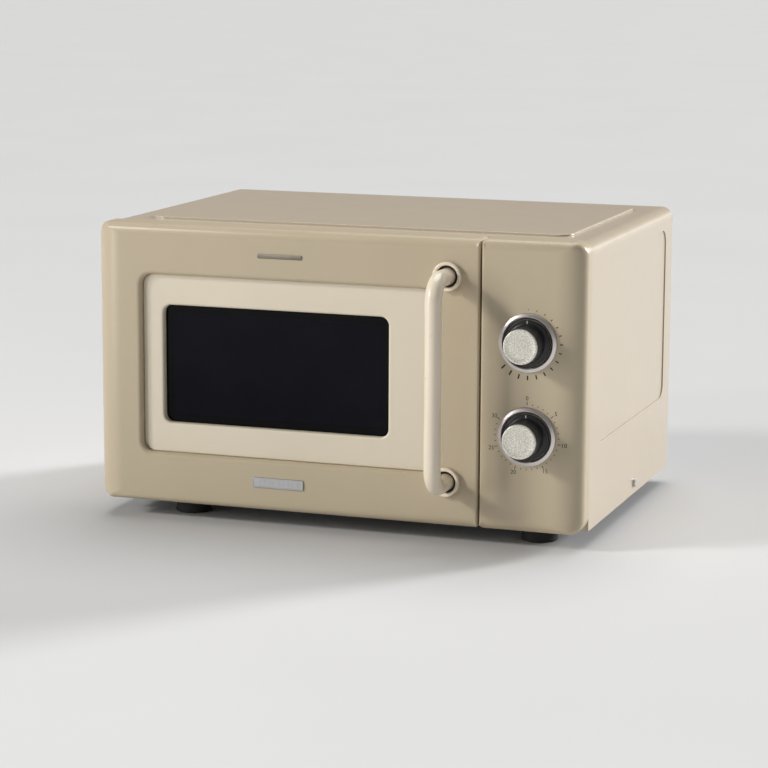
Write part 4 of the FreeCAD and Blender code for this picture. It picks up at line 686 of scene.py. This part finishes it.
def control_fascia():
    """The panel that the dials stand on: a hollow shell with rolled outer edges."""
    rounds = (FACING_ROUND, SIDE_ROUND, EDGE_ROUND, EDGE_ROUND)
    depths = (FACING_ROUND, SIDE_DEPTH, EDGE_ROUND, EDGE_ROUND)
    corner = (FACING_CORNER, OUTER_CORNER)
    xs, zs = (PANEL_LOW.x, PANEL_HIGH.x), (PANEL_LOW.z, PANEL_HIGH.z)
    back = PANEL_HIGH.y
    rings = [outline(xs, zs, flat(PANEL_FACE), corner, [size + LAND for size in rounds])]
    rings += reversed(rolled_edge(xs, zs, PANEL_FACE, corner, rounds, depths))
    rings.append(outline(xs, zs, flat(back), corner))
    rings.append(outline(xs, zs, flat(back), corner, [WALL] * 4))
    rings += rolled_edge(xs, zs, PANEL_FACE, corner, rounds, depths, WALL)
    put("control_fascia", *skin(rings), "cabinet", "cream_moulding", ["control_panel"])


# ---------------------------------------------------------------- handle

BAR_LOW, BAR_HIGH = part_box("handle_bar")
BAR_RADIUS = (BAR_HIGH.x - BAR_LOW.x) / 2
BAR_X = (BAR_LOW.x + BAR_HIGH.x) / 2
BAR_FEET = (BAR_LOW.z + BAR_RADIUS, BAR_HIGH.z - BAR_RADIUS)
BAR_BEND = 18.0 * MM
BAR_Y = CAD_BOX[0][1] + BAR_RADIUS  # the bar is the foremost piece of the oven


def bar_end(foot, side):
    """The bar's middle line from the door through one bend, as y, z and the angle turned so far.
    side is 1 where the bend goes up."""
    line = [(FACE, foot, 0.0), (BAR_Y + BAR_BEND, foot, 0.0)]
    steps = 14
    for step in range(1, steps + 1):
        turn = step / steps * TURN / 4
        y = BAR_Y + BAR_BEND - BAR_BEND * math.sin(turn)
        line.append((y, foot + side * BAR_BEND * (1 - math.cos(turn)), turn))
    return line


def handle_tube():
    """The bar: a round tube that bends back into the door at both ends."""
    low_end = bar_end(BAR_FEET[0], 1)
    top_end = [(y, z, TURN / 2 - turn) for y, z, turn in reversed(bar_end(BAR_FEET[1], -1))]
    rings = []
    segments = 48
    for y, z, turn in low_end + top_end:
        ring = []
        for i in range(segments):
            angle = i / segments * TURN
            off = BAR_RADIUS * math.sin(angle)
            x = BAR_X + BAR_RADIUS * math.cos(angle)
            ring.append((x, y + off * math.sin(turn), z + off * math.cos(turn)))
        rings.append(ring)
    put("handle_tube", *skin(rings), "door", "ivory_lacquer", ["handle_bar"])


def handle_seats():
    """The grooved collar round each foot of the handle, and a dark ring laid in its groove as painted
    shade for the gap round the foot.
    """
    groove_in, groove_out, outside = 7.3, 9.4, 12.4
    collar = [(groove_in, 0.0), (outside, 0.0), (outside, 1.0), *bead(outside - 0.8, 3.7, 0.8, 0)]
    collar += [(10.4, 4.5), (9.8, 4.3), (9.5, 3.7), (groove_out, 0.4), (groove_in, 0.4)]
    # The dark ring in each groove is painted shade: it stands for the shadowed gap round the foot of
    # the handle.
    shade_ring_profile = [(groove_in, 0.6), (groove_in, 1.2), (9.1, 1.2), (9.3, 1.0), (9.3, 0.6)]
    seats = [skin(turned(collar, BAR_X, z, FACE), looped=True) for z in BAR_FEET]
    shade_rings = [skin(turned(shade_ring_profile, BAR_X, z, FACE), looped=True) for z in BAR_FEET]
    put("handle_seats", *several(seats), "door", "ivory_lacquer", ["handle_collars"])
    # A dark ring of painted shade in each collar's groove.
    put("handle_shade_rings", *several(shade_rings), "door", "foot_rubber")


# ---------------------------------------------------------------- dials

DIAL_X = (RING_LOW.x + RING_HIGH.x) / 2
RING_RADIUS = (RING_HIGH.x - RING_LOW.x) / 2
DIALS = {
    "power": RING_HIGH.z - RING_RADIUS,
    "timer": RING_LOW.z + RING_RADIUS,
}


def trim_rings():
    """The bright rings that the knobs stand in."""
    inner, outer = 20.2, 25.0
    profile = [(inner, 0.0), (outer, 0.0), *bead(outer - 1.0, 1.4, 1.0, 0)]
    profile += [(23.6, 2.6), *bead(22.2, 2.0, 1.0, 0.6, 4), (20.9, 2.3), (inner, 1.4)]
    shapes = [skin(turned(profile, DIAL_X, z, PANEL_FACE), looped=True) for z in DIALS.values()]
    put("trim_rings", *several(shapes), "cabinet", "polished_chrome", ["dial_rings"])


def knob(name, z):
    """A black knob: a flat skirt inside the ring, a round grip, and a pale cap in its end. Radii and
    heights off the panel are in millimetres."""
    body = name + "_dial"
    low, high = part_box(name + "_knob")
    skirt = (high.x - low.x) / 2 / MM
    reach = (PANEL_FACE - low.y) / MM
    cap_low, cap_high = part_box(name + "_knob_cap")
    cap = (cap_high.x - cap_low.x) / 2 / MM
    lift = (PANEL_FACE - cap_low.y) / MM
    foot = (PANEL_FACE - high.y) / MM
    bore = 3.2
    profile = [(bore, foot), (skirt - 0.3, foot), (skirt, foot + 0.3)]
    profile += bead(skirt - 0.8, 2.6, 0.8, 0)
    profile += [(skirt - 2.2, 3.4), (16.4, 3.6), (15.7, 4.2), (15.5, 5.2)]
    profile += bead(14.3, reach - 0.7, 0.7, 0)
    profile += [(cap + 0.1, reach), (cap + 0.1, reach - 1.0), (bore, reach - 1.0)]
    grip = skin(turned(profile, DIAL_X, z, PANEL_FACE), looped=True)
    put(name + "_grip", *grip, body, "black_moulding", [name + "_knob"])
    crown = [(0.4, reach - 0.9), (cap - 0.2, reach - 0.9), (cap, reach - 0.7), (cap, lift - 0.7)]
    crown += bead(cap - 0.6, lift - 0.65, 0.6, 0)
    crown += [(cap - 2.0, lift), (cap - 2.6, lift - 0.25), (cap - 6.0, lift - 0.1), (0.4, lift)]
    cap_skin = skin(turned(crown, DIAL_X, z, PANEL_FACE))
    put(name + "_cap", *cap_skin, body, "satin_metal", [name + "_knob_cap"])
    zs = (z + (cap + 0.35) * MM, z + (skirt - 0.6) * MM)
    index = thin_bar(spread((DIAL_X, DIAL_X), 0.35 * MM), zs, 3.55, 3.3)
    put(name + "_index", *index, body, "white_moulding")


def thin_bar(xs, zs, high, low):
    """A thin bar on a dial, between two heights off the panel's face, in millimetres."""
    bevel = 0.05
    rings = []
    for height, cut in ((low, 0.0), (high - bevel, 0.0), (high, bevel)):
        y = PANEL_FACE - height * MM
        (x0, x1), (z0, z1) = spread(xs, -cut * MM), spread(zs, -cut * MM)
        rings.append([(x0, y, z0), (x1, y, z0), (x1, y, z1), (x0, y, z1)])
    return skin(rings)


PRINT_PROUD = 0.06  # millimetres that the print stands off the panel
PRINT_SUNK = 0.15
NUMERAL_HALF = 0.12


def spoke(z, degrees, inner, outer, wide):
    """A printed stroke that points at a dial's axis."""
    angle = math.radians(degrees)
    out = Vector((math.sin(angle), 0, math.cos(angle)))
    side = Vector((out.z, 0, -out.x)) * wide * MM / 2
    rings = []
    for height in (-PRINT_SUNK, PRINT_PROUD):
        middle = Vector((DIAL_X, PANEL_FACE - height * MM, z))
        near, far = middle + out * inner * MM, middle + out * outer * MM
        rings.append([tuple(p) for p in (near - side, near + side, far + side, far - side)])
    return skin(rings)


def numeral(text, x, z, tall):
    """A printed numeral as a thin mesh."""
    curve = bpy.data.curves.new("numeral", "FONT")
    curve.body = text
    curve.size = tall * MM
    curve.align_x = "CENTER"
    curve.align_y = "CENTER"
    curve.extrude = NUMERAL_HALF * MM
    curve.resolution_u = 3
    letter = bpy.data.objects.new("numeral", curve)
    bpy.context.scene.collection.objects.link(letter)
    bpy.context.view_layer.update()
    mesh = bpy.data.meshes.new_from_object(
        letter.evaluated_get(bpy.context.evaluated_depsgraph_get())
    )
    middle = PANEL_FACE + (NUMERAL_HALF - PRINT_PROUD) * MM
    points = [(x + v.co.x, middle - v.co.z, z + v.co.y) for v in mesh.vertices]
    faces = [tuple(polygon.vertices) for polygon in mesh.polygons]
    bpy.data.objects.remove(letter)
    return points, faces


def laid_on_fascia(shapes):
    """Lets print near the panel's right edge follow its rounding."""
    vertices, faces = several(shapes)
    start = PANEL_HIGH.x - SIDE_ROUND
    laid = []
    for x, y, z in vertices:
        share = max(x - start, 0.0) / SIDE_ROUND
        laid.append((x, y + SIDE_DEPTH * (1 - math.sqrt(1 - share * share)), z))
    return laid, faces


def timer_print():
    """A tick for each minute round the timer, with a numeral at each fifth."""
    step_degrees = 10
    numeral_radius = 32.5 * MM
    shapes = []
    for minute in range(31):
        long = minute % 5 == 0
        turn = minute * step_degrees
        shapes.append(spoke(DIALS["timer"], turn, 27.0, 29.6 if long else 28.2, 0.6))
        if long:
            x = DIAL_X + numeral_radius * math.sin(math.radians(turn))
            z = DIALS["timer"] + numeral_radius * math.cos(math.radians(turn))
            shapes.append(numeral(str(minute), x, z, 5.0))
    put("timer_print", *laid_on_fascia(shapes), "cabinet", "black_moulding")


def power_print():
    """Strokes round the power dial that grow from the lowest power to the highest."""
    strokes = 16
    step_degrees = 15
    shapes = []
    for stroke in range(strokes):
        growth = stroke / (strokes - 1)
        outer, wide = 28.4 + 3.6 * growth, 0.6 + 0.8 * growth
        shapes.append(spoke(DIALS["power"], stroke * step_degrees, 27.4, outer, wide))
    put("power_print", *laid_on_fascia(shapes), "cabinet", "black_moulding")


# ---------------------------------------------------------------- plates on the door

def name_plate():
    """A plain satin plate with a raised rim and a row of upright ribs in place of any words."""
    low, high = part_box("badge_plate")
    xs, zs = (low.x, high.x), (low.z, high.z)
    front = low.y
    corner = 1.2 * MM
    rim = 0.9 * MM
    rings = []
    for y, cut in (
        (high.y, 0.0),
        (front + 0.25 * MM, 0.0),
        (front, 0.3 * MM),
        (front, rim),
        (front + 0.3 * MM, rim + 0.2 * MM),
    ):
        rings.append(outline(xs, zs, flat(y), corner, [cut] * 4))
    shapes = [skin(rings)]
    ribs = 9
    end_margin, side_margin = 4 * MM, 2.4 * MM
    pitch = (xs[1] - xs[0] - 2 * end_margin) / ribs
    rib_zs = spread(zs, -side_margin)
    for rib in range(ribs):
        x = xs[0] + end_margin + (rib + 0.5) * pitch
        half_wide = (0.9 if rib % 2 else 1.5) * MM
        rib_xs = spread((x, x), half_wide)
        ys = (front + 0.4 * MM, front + 0.05 * MM)
        shapes.append(skin([outline(rib_xs, rib_zs, flat(y), 0.4 * MM) for y in ys]))
    put("name_plate", *several(shapes), "door", "motor_can", ["badge_plate"])


def top_strip():
    """A slim plain strip above the window."""
    z = DOOR_HIGH.z - 23.5 * MM
    xs, zs = (DOOR_LOW.x + 152 * MM, DOOR_LOW.x + 193 * MM), spread((z, z), 2.0 * MM)
    corner = 1.4 * MM
    rings = []
    for height, cut in ((-0.2, 0.0), (0.4, 0.0), (0.6, 0.3)):
        rings.append(outline(xs, zs, flat(FACE - height * MM), corner, [cut * MM] * 4))
    put("top_strip", *skin(rings), "door", "lamination_steel")


door_shell()
window_surround()
window_pane()
control_fascia()
handle_tube()
handle_seats()
trim_rings()
for dial_name, dial_z in DIALS.items():
    knob(dial_name, dial_z)
timer_print()
power_print()
name_plate()
top_strip()


# ---------------------------------------------------------------- studio

def studio_floor():
    """A pale matt table top, as a wide sheet whose far edge is out of view."""
    half = 60.0
    mesh = bpy.data.meshes.new("studio_floor")
    corners = [(-half, -half, 0), (half, -half, 0), (half, half, 0), (-half, half, 0)]
    mesh.from_pydata(corners, [], [(0, 1, 2, 3)])
    floor = bpy.data.objects.new("studio_floor", mesh)
    bpy.context.scene.collection.objects.link(floor)
    finish = Finish("studio_floor", Specular_IOR_Level=0.2)
    cloud = finish.noise(3.0, 3.0)
    finish.feed("Base Color", finish.mixed(cloud, (0.60, 0.60, 0.60), (0.63, 0.63, 0.63)))
    finish.feed("Roughness", cloud.between(0.7, 0.8))
    mesh.materials.append(finish.material)


def softbox(name, place, aim, wide, tall, power):
    """A rectangular light close to the oven, turned towards aim."""
    light = bpy.data.lights.new(name, "AREA")
    light.shape = "RECTANGLE"
    light.size = wide
    light.size_y = tall
    light.energy = power
    lamp = bpy.data.objects.new(name, light)
    lamp.location = place
    lamp.rotation_euler = (Vector(aim) - Vector(place)).to_track_quat("-Z", "Y").to_euler()
    bpy.context.scene.collection.objects.link(lamp)


def sunlight(name, towards, strength, spread_degrees, tint=(1.0, 1.0, 1.0)):
    """A soft light from far away. towards points from the oven to the light."""
    light = bpy.data.lights.new(name, "SUN")
    light.energy = strength
    light.angle = math.radians(spread_degrees)
    light.color = tint
    lamp = bpy.data.objects.new(name, light)
    lamp.rotation_euler = (-Vector(towards)).to_track_quat("-Z", "Y").to_euler()
    bpy.context.scene.collection.objects.link(lamp)


def studio_sky(strength):
    world = bpy.data.worlds.new("studio_sky")
    world.use_nodes = True
    backdrop = world.node_tree.nodes["Background"]
    backdrop.inputs["Color"].default_value = (1.0, 0.99, 0.98, 1.0)
    backdrop.inputs["Strength"].default_value = strength
    bpy.context.scene.world = world


def studio_camera():
    data = bpy.data.cameras.new("studio_camera")
    data.lens = 122.72
    data.sensor_width = 36.0
    camera = bpy.data.objects.new("studio_camera", data)
    camera.location = (0.76362, FACE - 2.05279, 0.52363)
    right = Vector((0.94381, 0.33045, 0.00484))
    up = Vector((-0.06277, 0.16489, 0.98431))
    back = right.cross(up)
    turn = [[right[i], up[i], back[i]] for i in range(3)]
    camera.rotation_euler = Matrix(turn).to_euler()
    bpy.context.scene.collection.objects.link(camera)
    bpy.context.scene.camera = camera


bpy.context.scene.view_settings.view_transform = "Standard"
MIDDLE = (0.0, 0.0, 0.14)
studio_floor()
studio_sky(0.12)
sunlight("key_sun", (-1.6, -1.0, 0.95), 1.35, 8.0, (1.0, 0.985, 0.96))
sunlight("right_sun", (1.0, 1.25, 0.42), 3.7, 12.0)
sunlight("top_sun", (0.05, 0.35, 1.0), 1.8, 50.0)
softbox("left_strip", (-1.6, -1.6, 0.5), MIDDLE, 0.2, 1.8, 22.0)
studio_camera()
